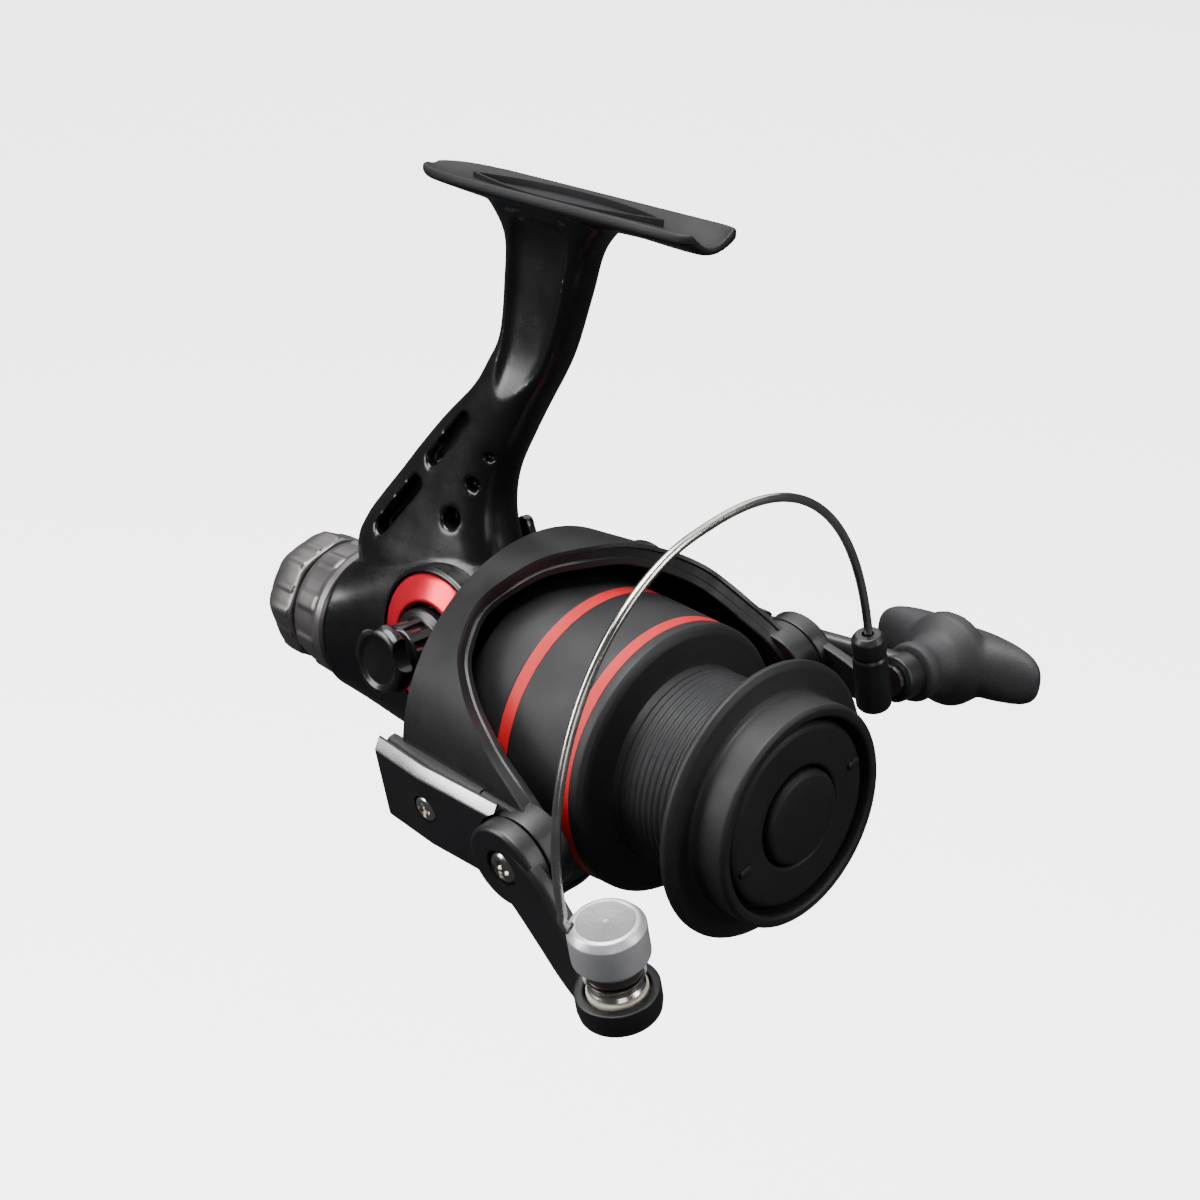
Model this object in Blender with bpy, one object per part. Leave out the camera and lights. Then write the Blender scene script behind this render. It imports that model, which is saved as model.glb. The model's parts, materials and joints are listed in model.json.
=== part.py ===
"""Open-face spinning reel with a rear drag, modelled as an assembly of separate pieces.

Every size below is in millimetres in the reel's own frame: the spool axis is the X axis,
X points forward past the spool, Z points up to the rod foot, +Y is the handle side, and
X = 0 is the front edge of the spool lip. Pieces are scaled to metres as they are made and
hang from an empty that puts the origin in the middle of the foot's seat.
"""

import math

import bmesh
import bpy
from mathutils import Matrix, Vector

MM = 0.001

# Foot and stem
FOOT_CENTRE_X = -59.0
FOOT_LENGTH = 72.0
FOOT_HALF_WIDTH = 7.1
FOOT_TOP = 96.6
SEAT_FLOOR = 95.2
POCKET_LENGTH = 46.0
POCKET_HALF_WIDTH = 4.2

# Drive train
GEAR_X = -75.5
GEAR_Z = 7.5
FACE_TEETH = 32
PINION_TEETH = 8
CONTACT_X = 10.8
PINION_PITCH = CONTACT_X * PINION_TEETH / FACE_TEETH
PINION_PHASE = -13.75
GEAR_RADIUS = 14.3
GEAR_FACE = 4.4
SMALL_MODULE = 0.7
SMALL_TEETH = 14
IDLER_TEETH = 28
IDLER_X = -90.0
IDLER_Z = 4.5
STROKE_RADIUS = 6.5

# Gear case
COVER_PLANE = 7.0
CASE_FRONT = -62.0
CASE_REAR = -108.0
RING_OUTER = 14.3
RING_INNER = 9.0

# Spool and shaft
LIP_RADIUS = 26.0
SKIRT_FRONT = -21.0
SKIRT_REAR = -53.0
SKIRT_RADIUS = 25.8
SKIRT_TAPER = 0.043
ARBOR_RADIUS = 18.3
SHAFT_RADIUS = 1.5
BUTTON_RADIUS = 8.85

# Rotor, in its own turned frame: S runs along the bail axis and W across it
ROTOR_TILT = 16.0
ROTOR_REAR = -61.0
WALL_INNER = 30.6
WALL_OUTER = 35.0
PIVOT_X = -26.0
PAD_FACE = 36.2
HUB_FACE = 40.6
ARM_HALF_WIDTH = 8.4
ROLLER_X = 0.5
ROLLER_S = 41.2
CAP_RADIUS = 6.9
POST_X = -8.0
POST_S = 38.8
WIRE_RADIUS = 0.85
WIRE_ROOT = (-2.6, -43.4, -3.2)
WIRE_BEND = (-4.05, -46.3, 3.0)

# Handle
HINGE_X = -71.0
HINGE_Y = 43.0
KNOB_X = -14.5
KNOB_Z = 4.5
KNOB_BASE = 58.0
KNOB_TIP = 80.0

# Rear drag
TAIL_RADIUS = 13.6
KNOB_FRONT = -119.2
KNOB_REAR = -130.0

# The exact solver leaves open edges on these two, so they use the other one
MANIFOLD_PIECES = ("housing", "rotor")

# Turn given to every plain bar, so that its corners never meet those of a turned piece
ROD_PHASE = 0.11


# ---------------------------------------------------------------- materials
def make_material(name, colour, roughness, metallic=0.0):
    material = bpy.data.materials.new(name)
    material.use_nodes = True
    shader = material.node_tree.nodes["Principled BSDF"]
    shader.inputs["Base Color"].default_value = (*colour, 1.0)
    shader.inputs["Roughness"].default_value = roughness
    shader.inputs["Metallic"].default_value = metallic
    material.diffuse_color = (*colour, 1.0)
    return material


FINISHES = {
    "gloss_black": ((0.012, 0.012, 0.013), 0.22, 0.0),
    "satin_black": ((0.020, 0.020, 0.021), 0.42, 0.0),
    "matte_black": ((0.022, 0.022, 0.023), 0.55, 0.0),
    "soft_grip": ((0.035, 0.035, 0.037), 0.75, 0.0),
    "red_anodised": ((0.65, 0.02, 0.03), 0.25, 0.9),
    "grey_plastic": ((0.16, 0.155, 0.155), 0.45, 0.0),
    "bright_steel": ((0.75, 0.73, 0.70), 0.22, 1.0),
    "silver": ((0.62, 0.62, 0.63), 0.38, 1.0),
    "brass": ((0.78, 0.58, 0.25), 0.35, 1.0),
    "zinc": ((0.50, 0.50, 0.50), 0.45, 1.0),
    "white_nylon": ((0.78, 0.76, 0.70), 0.5, 0.0),
    "felt": ((0.20, 0.19, 0.18), 0.9, 0.0),
}


# ---------------------------------------------------------------- mesh helpers
def turned(profile, steps=30, axis="X", centre=(0.0, 0.0, 0.0)):
    """Turn (along, radius) points about an axis. A radius of 0 closes that end; otherwise the loop closes."""
    mesh = bmesh.new()
    rings = []
    for along, radius in profile:
        if radius == 0.0:
            rings.append([mesh.verts.new((along, 0.0, 0.0))])
            continue
        ring = []
        for i in range(steps):
            angle = 2.0 * math.pi * i / steps
            ring.append(mesh.verts.new((along, radius * math.cos(angle), radius * math.sin(angle))))
        rings.append(ring)
    pairs = list(zip(rings, rings[1:]))
    if len(rings[0]) > 1 and len(rings[-1]) > 1:
        pairs.append((rings[-1], rings[0]))
    for first, second in pairs:
        join_rings(mesh, first, second)
    turns = {"X": Matrix.Identity(4), "Y": Matrix.Rotation(math.pi / 2, 4, "Z"),
             "Z": Matrix.Rotation(-math.pi / 2, 4, "Y")}
    mesh.transform(Matrix.Translation(centre) @ turns[axis])
    return closed(mesh)


def join_rings(mesh, first, second):
    count = max(len(first), len(second))
    for i in range(count):
        corners = [first[i % len(first)], first[(i + 1) % len(first)]]
        corners += [second[(i + 1) % len(second)], second[i % len(second)]]
        unique = list(dict.fromkeys(corners))
        mesh.faces.new(unique)


def closed(mesh):
    bmesh.ops.recalc_face_normals(mesh, faces=mesh.faces)
    return mesh


def loft(rings):
    """Skin a list of equally long point rings and cap both ends."""
    mesh = bmesh.new()
    rows = [[mesh.verts.new(point) for point in ring] for ring in rings]
    for first, second in zip(rows, rows[1:]):
        join_rings(mesh, first, second)
    mesh.faces.new(rows[0])
    mesh.faces.new(rows[-1])
    return closed(mesh)


def prism(outline, low, high, axis="Y"):
    """Extrude a flat outline. Axis Y takes (x, z) points, X takes (y, z) and Z takes (x, y)."""
    places = {"X": lambda a, b, t: (t, a, b),
              "Y": lambda a, b, t: (a, t, b),
              "Z": lambda a, b, t: (a, b, t)}
    place = places[axis]
    return loft([[place(a, b, level) for a, b in outline] for level in (low, high)])


def rod(start, end, radius, steps=12):
    """A round bar between two points."""
    start = Vector(start)
    along = Vector(end) - start
    phase = ROD_PHASE * (1.0 + radius)
    section = []
    for i in range(steps):
        angle = 2.0 * math.pi * i / steps + phase
        section.append((radius * math.cos(angle), radius * math.sin(angle)))
    mesh = prism(section, 0.0, along.length, "X")
    mesh.transform(Matrix.Translation(start) @ along.to_track_quat("X", "Z").to_matrix().to_4x4())
    return mesh


def box(low, high):
    mesh = bmesh.new()
    bmesh.ops.create_cube(mesh, size=1.0)
    size = Vector(high) - Vector(low)
    middle = (Vector(high) + Vector(low)) / 2
    mesh.transform(Matrix.Translation(middle) @ Matrix.Diagonal((*size, 1.0)))
    return mesh


def swept(points, radius, sides=8):
    """A round wire along a path, with flat ends."""
    points = [Vector(point) for point in points]
    rings = []
    normal = None
    for i, point in enumerate(points):
        ahead = points[min(i + 1, len(points) - 1)]
        behind = points[max(i - 1, 0)]
        tangent = (ahead - behind).normalized()
        if normal is None:
            normal = tangent.orthogonal().normalized()
        normal = (normal - tangent * normal.dot(tangent)).normalized()
        side = tangent.cross(normal)
        ring = []
        for k in range(sides):
            angle = 2.0 * math.pi * k / sides
            ring.append(point + radius * (math.cos(angle) * normal + math.sin(angle) * side))
        rings.append(ring)
    return loft(rings)


def rounded(centre_a, centre_b, half_a, half_b, count=20, power=2.6):
    """Points round a superellipse."""
    points = []
    for i in range(count):
        angle = 2.0 * math.pi * i / count
        c, s = math.cos(angle), math.sin(angle)
        a = math.copysign(abs(c) ** (2.0 / power), c) * half_a
        b = math.copysign(abs(s) ** (2.0 / power), s) * half_b
        points.append((centre_a + a, centre_b + b))
    return points


def arc(centre, radius, start, end, count):
    """Points round an arc, in degrees from the first axis towards the second."""
    points = []
    for i in range(count):
        angle = math.radians(start + (end - start) * i / (count - 1))
        points.append((centre[0] + radius * math.cos(angle), centre[1] + radius * math.sin(angle)))
    return points


def slot_outline(start, end, radius, count=5):
    """The outline of a round-ended slot between two points."""
    heading = math.degrees(math.atan2(end[1] - start[1], end[0] - start[0]))
    return arc(end, radius, heading - 90, heading + 90, count) + arc(start, radius, heading + 90,
                                                                     heading + 270, count)


def coil(centre_x, radius, wire, turns, pitch, axis_y=0.0, axis_z=0.0, per_turn=11):
    """A helical spring about a line parallel to X."""
    points = []
    for i in range(int(turns * per_turn) + 1):
        angle = 2.0 * math.pi * i / per_turn
        along = centre_x + pitch * (i / per_turn - turns / 2)
        points.append((along, axis_y + radius * math.cos(angle), axis_z + radius * math.sin(angle)))
    return swept(points, wire, 4)


def gear_outline(teeth, module, slack=0.10):
    """Straight-sided teeth, thinned by the slack on each side."""
    pitch = teeth * module / 2.0
    root, tip = pitch - 1.2 * module, pitch + 0.9 * module
    half_pitch = math.pi / teeth
    thin = slack / pitch
    widths = ((root, 0.62), (tip, 0.26))
    points = []
    for i in range(teeth):
        middle = 2.0 * math.pi * i / teeth
        for radius, share in (widths[0], widths[1]):
            angle = middle - half_pitch * share + thin
            points.append((radius * math.cos(angle), radius * math.sin(angle)))
        for radius, share in (widths[1], widths[0]):
            angle = middle + half_pitch * share - thin
            points.append((radius * math.cos(angle), radius * math.sin(angle)))
    return points


def smooth_between(table, value):
    """A smooth curve through (place, size) pairs, flat at its ends."""
    for (x0, y0), (x1, y1) in zip(table, table[1:]):
        if value <= x1:
            t = (value - x0) / (x1 - x0)
            t = t * t * (3.0 - 2.0 * t)
            return y0 + (y1 - y0) * t
    return table[-1][1]


# ---------------------------------------------------------------- scene helpers
def clear_scene():
    for item in list(bpy.data.objects):
        bpy.data.objects.remove(item, do_unlink=True)


def empty(name, place, parent=None, turn=(0.0, 0.0, 0.0)):
    item = bpy.data.objects.new(name, None)
    item.empty_display_size = 0.01
    bpy.context.scene.collection.objects.link(item)
    item.parent = parent
    item.location = Vector(place) * MM
    item.rotation_euler = turn
    return item


def add(name, mesh, finish, parent, pivot=(0.0, 0.0, 0.0), smooth=True):
    """Make an object from a mesh in reel millimetres, with its origin at the pivot."""
    mesh.transform(Matrix.Diagonal((MM, MM, MM, 1.0)) @ Matrix.Translation(-Vector(pivot)))
    data = bpy.data.meshes.new(name)
    mesh.to_mesh(data)
    mesh.free()
    data.materials.append(MATERIALS[finish])
    if smooth:
        data.shade_smooth()
        data.set_sharp_from_angle(angle=math.radians(38))
    item = bpy.data.objects.new(name, data)
    bpy.context.scene.collection.objects.link(item)
    item.parent = parent
    item.location = Vector(pivot) * MM
    return item


def combine(target, mesh, operation, label):
    """Union, cut or keep the overlap with a hidden guide shape, given in reel millimetres."""
    guide = add(f"{target.name}_{label}", mesh, "zinc", target.parent, smooth=False)
    guide.hide_render = True
    guide.display_type = "WIRE"
    modifier = target.modifiers.new(label, "BOOLEAN")
    modifier.operation = operation
    modifier.solver = "MANIFOLD" if target.name in MANIFOLD_PIECES else "EXACT"
    modifier.object = guide


def join(target, mesh, label):
    combine(target, mesh, "UNION", label)


def cut(target, mesh, label):
    combine(target, mesh, "DIFFERENCE", label)


# ---------------------------------------------------------------- housing
def case_rings(grow=0.0):
    """Cross-sections of the gear case: x, centre height, half height, half width."""
    stations = (
        (CASE_FRONT, 1.0, 20.5, 12.6),
        (-70.0, 3.0, 22.8, 11.9),
        (-80.0, 4.2, 23.2, 11.6),
        (-92.0, 3.0, 20.6, 11.6),
        (-102.0, 1.0, 16.6, 12.6),
        (CASE_REAR, 0.0, 14.4, 13.6),
    )
    rings = []
    for x, height, half_height, half_width in stations:
        section = rounded(0.0, height, half_width + grow, half_height + grow)
        rings.append([(x, y, z) for y, z in section])
    return rings


def stem_rings():
    """Level cross-sections of the stem: z, rear x, front x, half width."""
    stations = (
        (8.0, -106.0, -68.0, 10.0),
        (18.0, -109.0, -66.0, 9.4),
        (24.0, -107.0, -67.0, 8.4),
        (30.0, -102.5, -69.6, 7.4),
        (36.0, -97.5, -70.4, 6.6),
        (42.5, -92.2, -69.2, 6.0),
        (50.0, -85.6, -65.6, 5.5),
        (57.5, -78.2, -61.6, 5.1),
        (63.0, -74.7, -58.4, 4.9),
        (69.0, -71.8, -55.6, 4.8),
        (79.0, -71.2, -52.6, 5.0),
        (88.0, -71.8, -50.0, 5.4),
        (94.5, -79.0, -43.0, 6.2),
    )
    rings = []
    for z, rear, front, half_width in stations:
        section = rounded((rear + front) / 2, 0.0, (front - rear) / 2, half_width, power=3.0)
        rings.append([(x, y, z) for x, y in section])
    return rings


def foot_rings():
    """Cross-sections of the foot along X: share of the half length, half width, thickness."""
    stations = (
        (-1.0, 3.0, 1.2),
        (-0.93, 6.0, 1.4),
        (-0.72, 6.9, 1.8),
        (-0.35, 7.1, 2.8),
        (0.30, 7.1, 2.8),
        (0.72, 7.1, 2.2),
        (0.90, 6.3, 1.9),
        (1.0, 3.2, 1.6),
    )
    rings = []
    for share, half_width, thick in stations:
        x = FOOT_CENTRE_X + share * FOOT_LENGTH / 2
        edge = half_width - 0.5
        low = FOOT_TOP - thick
        section = [(-edge, low), (edge, low), (half_width, low + 0.5), (half_width, FOOT_TOP - 0.4),
                   (edge, FOOT_TOP), (-edge, FOOT_TOP), (-half_width, FOOT_TOP - 0.4),
                   (-half_width, low + 0.5)]
        rings.append([(x, y, z) for y, z in section])
    return rings


def pocket_outline():
    """A long lens between two arcs."""
    half_length = POCKET_LENGTH / 2
    radius = (half_length ** 2 + POCKET_HALF_WIDTH ** 2) / (2 * POCKET_HALF_WIDTH)
    swing = math.degrees(math.asin(half_length / radius)) * 0.995
    below = (FOOT_CENTRE_X, POCKET_HALF_WIDTH - radius)
    above = (FOOT_CENTRE_X, radius - POCKET_HALF_WIDTH)
    return arc(below, radius, 90 - swing, 90 + swing, 8) + arc(above, radius, 270 - swing, 270 + swing, 8)


def cover_outline(grow=0.0):
    """Outline of the removable side cover, as (x, z) points round its middle."""
    middle = (-82.0, 5.0)
    round_gear = arc((GEAR_X, GEAR_Z), GEAR_RADIUS + 1.1, -50, 100, 12)
    corners = [(-87.0, 22.4), (-96.5, 17.0), (-107.0, 8.5), (-107.2, -4.5), (-99.0, -12.0),
               (-84.0, -14.0), (-75.0, -13.6),
               (-68.6, -13.4), (-67.6, -7.5)]
    points = []
    for x, z in round_gear + corners:
        away = Vector((x - middle[0], z - middle[1]))
        away *= 1.0 + grow / away.length
        points.append((middle[0] + away.x, middle[1] + away.y))
    return points


def build_housing(root):
    housing = add("housing", loft(case_rings()), "gloss_black", root)
    join(housing, loft(stem_rings()), "stem")
    join(housing, loft(foot_rings()), "foot")
    nose = [(-62.6, 0.0), (-62.6, 17.8), (-55.5, 17.8), (-52.9, 14.0), (-52.9, 0.0)]
    join(housing, turned(nose), "nose")
    boss = [(-12.75, 0.0), (-12.75, 15.1), (-12.2, 15.6), (0.0, 15.6), (0.0, 0.0)]
    join(housing, turned(boss, axis="Y", centre=(GEAR_X, 0.0, GEAR_Z)), "boss")
    cut(housing, prism(cover_outline(0.3), COVER_PLANE, 30.0), "cover_seat")
    cut(housing, prism(cavity_outline(), -9.0, COVER_PLANE + 1.0), "cavity")
    for side in (-1, 1):
        start, end = (GEAR_X, side * 11.4, GEAR_Z), (GEAR_X, side * 30.0, GEAR_Z)
        cut(housing, rod(start, end, RING_OUTER + 0.3, 30), f"ring_seat_{side}")
    cut(housing, rod((-71.5, 0.0, 0.0), (-59.2, 0.0, 0.0), 4.6), "nose_room")
    cut(housing, turned([(-60.0, 0.0), (-60.0, 6.5), (-58.0, 6.5), (-58.0, 9.8), (-50.0, 9.8),
                         (-50.0, 0.0)]), "bearing_seat")
    cut(housing, rod((-112.0, 0.0, 0.0), (-98.0, 0.0, 0.0), 1.9), "shaft_hole")
    cut(housing, rod((GEAR_X, -13.0, GEAR_Z), (GEAR_X, -8.0, GEAR_Z), 7.8, 16), "bearing_hole")
    cut(housing, prism(pocket_outline(), SEAT_FLOOR, FOOT_TOP + 2.0, "Z"), "seat_pocket")
    for index, (start, end, radius) in enumerate(STEM_SLOTS):
        for side in (-1, 1):
            deep, out = sorted((side * 3.6, side * 12.0))
            cut(housing, prism(slot_outline(start, end, radius), deep, out), f"slot_{index}_{side}")
    add_pedestals(housing)


STEM_SLOTS = (
    ((-85.6, 41.2), (-77.6, 51.0), 1.5),
    ((-98.2, 24.2), (-89.4, 35.4), 1.7),
    ((-70.9, 45.2), (-70.7, 45.4), 1.0),
    ((-74.4, 39.0), (-74.2, 39.2), 1.4),
    ((-78.6, 31.2), (-78.4, 31.4), 2.1),
)


def cavity_outline():
    """Room for the drive gear in front and the oscillation drive behind."""
    gear_room = arc((GEAR_X, GEAR_Z), GEAR_RADIUS + 0.4, -88, 118, 16)
    return gear_room + [(-91.5, 16.2), (-100.9, 14.2), (-101.0, -10.6), (-95.5, -11.2), (-79.6, -11.2)]


def add_pedestals(housing):
    """Supports inside the case: the pinion's rear bush and the front end of the guide rod."""
    join(housing, box((-70.7, -9.4, -6.0), (-68.0, 1.0, -3.9)), "bush_ledge")
    join(housing, box((-70.7, -9.4, -6.0), (-68.0, -4.4, 1.4)), "bush_wall")
    join(housing, box((-79.3, -9.4, -10.4), (-77.0, 1.8, -5.0)), "rod_post")
    cut(housing, rod((-82.0, -0.5, -7.6), (-76.0, -0.5, -7.6), 1.5, 12), "rod_hole")
    cut(housing, rod((-104.0, -0.5, -7.6), (-96.0, -0.5, -7.6), 1.5, 12), "rod_end")


def build_side_cover(root):
    cover = add("side_cover", loft(case_rings()), "gloss_black", root)
    boss = [(6.0, 0.0), (6.0, 15.6), (12.2, 15.6), (12.75, 15.1), (12.75, 0.0)]
    join(cover, turned(boss, axis="Y", centre=(GEAR_X, 0.0, GEAR_Z)), "boss")
    combine(cover, prism(cover_outline(), COVER_PLANE + 0.3, 30.0), "INTERSECT", "outline")
    cut(cover, rod((GEAR_X, 11.4, GEAR_Z), (GEAR_X, 30.0, GEAR_Z), RING_OUTER + 0.3, 30), "ring_seat")
    cut(cover, rod((GEAR_X, 5.0, GEAR_Z), (GEAR_X, 13.0, GEAR_Z), 7.8, 16), "bearing_hole")
    for index, (x, z) in enumerate(COVER_SCREWS):
        cut(cover, rod((x, 5.0, z), (x, 14.0, z), 1.3, 12), f"hole_{index}")
        cut(cover, rod((x, 8.8, z), (x, 14.0, z), 2.4, 14), f"counterbore_{index}")
        housing = bpy.data.objects["housing"]
        cut(housing, rod((x, 3.2, z), (x, 9.0, z), 1.3, 12), f"screw_hole_{index}")
        screw = turned([(3.6, 0.0), (3.6, 1.0), (9.1, 1.0), (9.1, 2.1), (10.3, 2.1), (10.3, 0.0)], 14,
                       "Y", (x, 0.0, z))
        piece = add(f"side_cover_screw_{index + 1}", screw, "bright_steel", root)
        cut(piece, box((x - 1.3, 9.8, z - 0.25), (x + 1.3, 12.0, z + 0.25)), "slot_a")
        cut(piece, box((x - 0.25, 9.8, z - 1.3), (x + 0.25, 12.0, z + 1.3)), "slot_b")


COVER_SCREWS = ((-103.8, 2.6), (-71.4, -10.5))


def build_trim_rings(root):
    for name, side in (("near_trim_ring", -1), ("far_trim_ring", 1)):
        section = [(11.7, RING_OUTER), (12.4, RING_OUTER), (14.4, RING_INNER + 0.5),
                   (14.4, RING_INNER), (11.7, RING_INNER)]
        ring = turned([(side * y, radius) for y, radius in section], axis="Y",
                      centre=(GEAR_X, 0.0, GEAR_Z))
        add(name, ring, "red_anodised", root)
    for name, side in (("drive_bearing_near", -1), ("drive_bearing_far", 1)):
        section = [(side * 8.9, 4.3), (side * 8.9, 7.5), (side * 11.2, 7.5), (side * 11.2, 4.3)]
        add(name, turned(section, 32, "Y", (GEAR_X, 0.0, GEAR_Z)), "bright_steel", root)


def build_front_bearings(root):
    add("pinion_bearing", turned([(-57.7, 3.45), (-57.7, 9.5), (-53.2, 9.5), (-53.2, 3.45)], 22),
        "bright_steel", root)
    add("bearing_retainer", turned([(-52.6, 6.0), (-52.6, 12.8), (-51.8, 12.8), (-51.8, 6.0)], 22),
        "zinc", root)
    add("pinion_bush", turned([(-70.6, 2.4), (-70.6, 3.6), (-68.2, 3.6), (-68.2, 2.4)], 18), "brass",
        root)
    cut(bpy.data.objects["pinion_bush"], box((-72.0, 2.0, -5.0), (-67.0, 5.0, 5.0)), "gear_room")


# ---------------------------------------------------------------- drive
def face_teeth():
    """Ribs on the gear's face, each tangent to the circle that the pinion axis touches."""
    wide = math.pi * 2.0 * CONTACT_X / FACE_TEETH
    ribs = []
    for i in range(FACE_TEETH):
        base, tip = wide * 0.20, wide * 0.10
        section = [(-base, GEAR_FACE + 0.3), (base, GEAR_FACE + 0.3), (tip, PINION_PITCH - 0.35),
                   (-tip, PINION_PITCH - 0.35)]
        inner, outer = CONTACT_X - 1.7, CONTACT_X + 1.2
        rings = [[(x, y, -GEAR_Z + z) for z, y in section] for x in (inner, outer)]
        rib = loft(rings)
        turn = Matrix.Rotation(2.0 * math.pi * i / FACE_TEETH, 4, "Y")
        rib.transform(Matrix.Translation((GEAR_X, 0.0, GEAR_Z)) @ turn)
        ribs.append(rib)
    return ribs


def merged(meshes):
    """Copy several separate solids into one guide mesh."""
    result = bmesh.new()
    for mesh in meshes:
        data = bpy.data.meshes.new("guide_piece")
        mesh.to_mesh(data)
        mesh.free()
        result.from_mesh(data)
        bpy.data.meshes.remove(data)
    return result


def build_drive_gear(crank):
    profile = [(-11.0, 2.6), (-11.0, 4.0), (3.0, 4.0), (3.0, 6.0), (GEAR_FACE, 6.0),
               (GEAR_FACE, GEAR_RADIUS - 0.4),
               (GEAR_FACE + 0.4, GEAR_RADIUS), (6.4, GEAR_RADIUS), (6.4, 5.2), (8.6, 5.2), (8.6, 4.0),
               (11.0, 4.0), (11.0, 2.6)]
    pivot = (GEAR_X, 0.0, GEAR_Z)
    gear = add("drive_gear", turned(profile, 22, "Y", pivot), "zinc", crank, pivot)
    join(gear, merged(face_teeth()), "teeth")
    outline = [(GEAR_X + a, GEAR_Z + b) for a, b in gear_outline(SMALL_TEETH, SMALL_MODULE)]
    join(gear, prism(outline, -8.4, -6.0), "small_gear")
    cut(gear, rod((GEAR_X, -14.0, GEAR_Z), (GEAR_X, 14.0, GEAR_Z), 2.6, 16), "bore")


def build_oscillation_gear(root, idler_frame):
    phase = math.atan2(IDLER_Z - GEAR_Z, IDLER_X - GEAR_X)
    offset = math.pi / IDLER_TEETH + phase * (1.0 + SMALL_TEETH / IDLER_TEETH)
    turn = Matrix.Rotation(-offset, 4, "Y")
    outline = gear_outline(IDLER_TEETH, SMALL_MODULE)
    mesh = prism(outline, -8.4, -6.0)
    mesh.transform(Matrix.Translation((IDLER_X, 0.0, IDLER_Z)) @ turn)
    gear = add("oscillation_gear", mesh, "white_nylon", idler_frame, (IDLER_X, 0.0, IDLER_Z))
    pin_x = IDLER_X - STROKE_RADIUS
    join(gear, rod((pin_x, -6.5, IDLER_Z), (pin_x, -5.1, IDLER_Z), 1.2, 12), "pin")
    cut(gear, rod((IDLER_X, -12.0, IDLER_Z), (IDLER_X, -4.0, IDLER_Z), 1.9, 14), "bore")
    axle = rod((IDLER_X, -8.7, IDLER_Z), (IDLER_X, -5.3, IDLER_Z), 1.6, 20)
    add("oscillation_axle", axle, "bright_steel", root)


def build_pinion(rotor):
    pitch = PINION_PITCH
    outline = []
    for i in range(PINION_TEETH):
        middle = 2.0 * math.pi * (i + 0.5) / PINION_TEETH + math.radians(PINION_PHASE)
        for radius, share in ((pitch - 0.60, -0.42), (pitch + 0.50, -0.17), (pitch + 0.50, 0.17),
                              (pitch - 0.60, 0.42)):
            angle = middle + share * math.pi / PINION_TEETH
            outline.append((radius * math.cos(angle), radius * math.sin(angle)))
    pinion = add("pinion", prism(outline, -67.4, -62.2, "X"), "brass", rotor)
    join(pinion, rod((-62.3, 0.0, 0.0), (-38.4, 0.0, 0.0), 3.15, 16), "sleeve")
    join(pinion, rod((-70.9, 0.0, 0.0), (-67.3, 0.0, 0.0), 2.1, 16), "tail")
    cut(pinion, rod((-72.0, 0.0, 0.0), (-36.0, 0.0, 0.0), 1.75, 16), "bore")


def build_slider(slide):
    x = IDLER_X - STROKE_RADIUS
    slider = add("slider", box((x - 2.6, -4.6, -10.2), (x + 2.6, 1.4, 3.0)), "white_nylon", slide,
                 (x, 0.0, 0.0))
    join(slider, box((x - 2.6, -4.6, 2.0), (x + 2.6, -2.2, 13.4)), "slot_plate")
    cut(slider, prism(slot_outline((x, -2.0), (x, 11.0), 1.4), -6.0, -2.6), "pin_slot")
    cut(slider, rod((x - 5, 0.0, 0.0), (x + 5, 0.0, 0.0), 1.8, 14), "shaft_bore")
    cut(slider, rod((x - 5, -0.5, -7.6), (x + 5, -0.5, -7.6), 1.5, 12), "rod_bore")


# ---------------------------------------------------------------- spool
def spool_profile():
    def skirt(x):
        return SKIRT_RADIUS + (SKIRT_FRONT - x) * SKIRT_TAPER

    outer = [(3.2, 18.5), (7.6, 18.5), (8.0, 18.9), (8.0, 20.2), (7.4, 20.7), (1.2, 20.7), (0.6, 21.4),
             (0.0, LIP_RADIUS - 0.6),
             (-0.6, LIP_RADIUS), (-1.6, LIP_RADIUS - 0.1), (-2.6, LIP_RADIUS - 1.4),
             (-4.6, ARBOR_RADIUS + 1.2), (-5.4, ARBOR_RADIUS)]
    ridges = []
    for i in range(2):
        x = -8.8 - 5.4 * i
        ridges += [(x, ARBOR_RADIUS), (x - 0.8, ARBOR_RADIUS + 0.45)]
    rear = [(-19.6, ARBOR_RADIUS), (-20.3, ARBOR_RADIUS + 1.0), (-20.6, SKIRT_RADIUS - 1.2),
            (SKIRT_FRONT, SKIRT_RADIUS - 0.2),
            (SKIRT_FRONT - 0.6, skirt(SKIRT_FRONT - 0.6)), (SKIRT_REAR + 0.5, skirt(SKIRT_REAR)),
            (SKIRT_REAR, skirt(SKIRT_REAR) - 0.5),
            (SKIRT_REAR, 25.3), (-24.5, 24.0), (-23.4, 22.6), (-23.4, 16.4), (-9.0, 16.0),
            (-8.0, 15.0), (-8.0, 5.6), (-24.4, 5.6),
            (-24.4, 1.8), (-2.5, 1.8), (-2.5, 9.4), (3.2, 9.6)]
    return outer + ridges + rear


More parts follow.
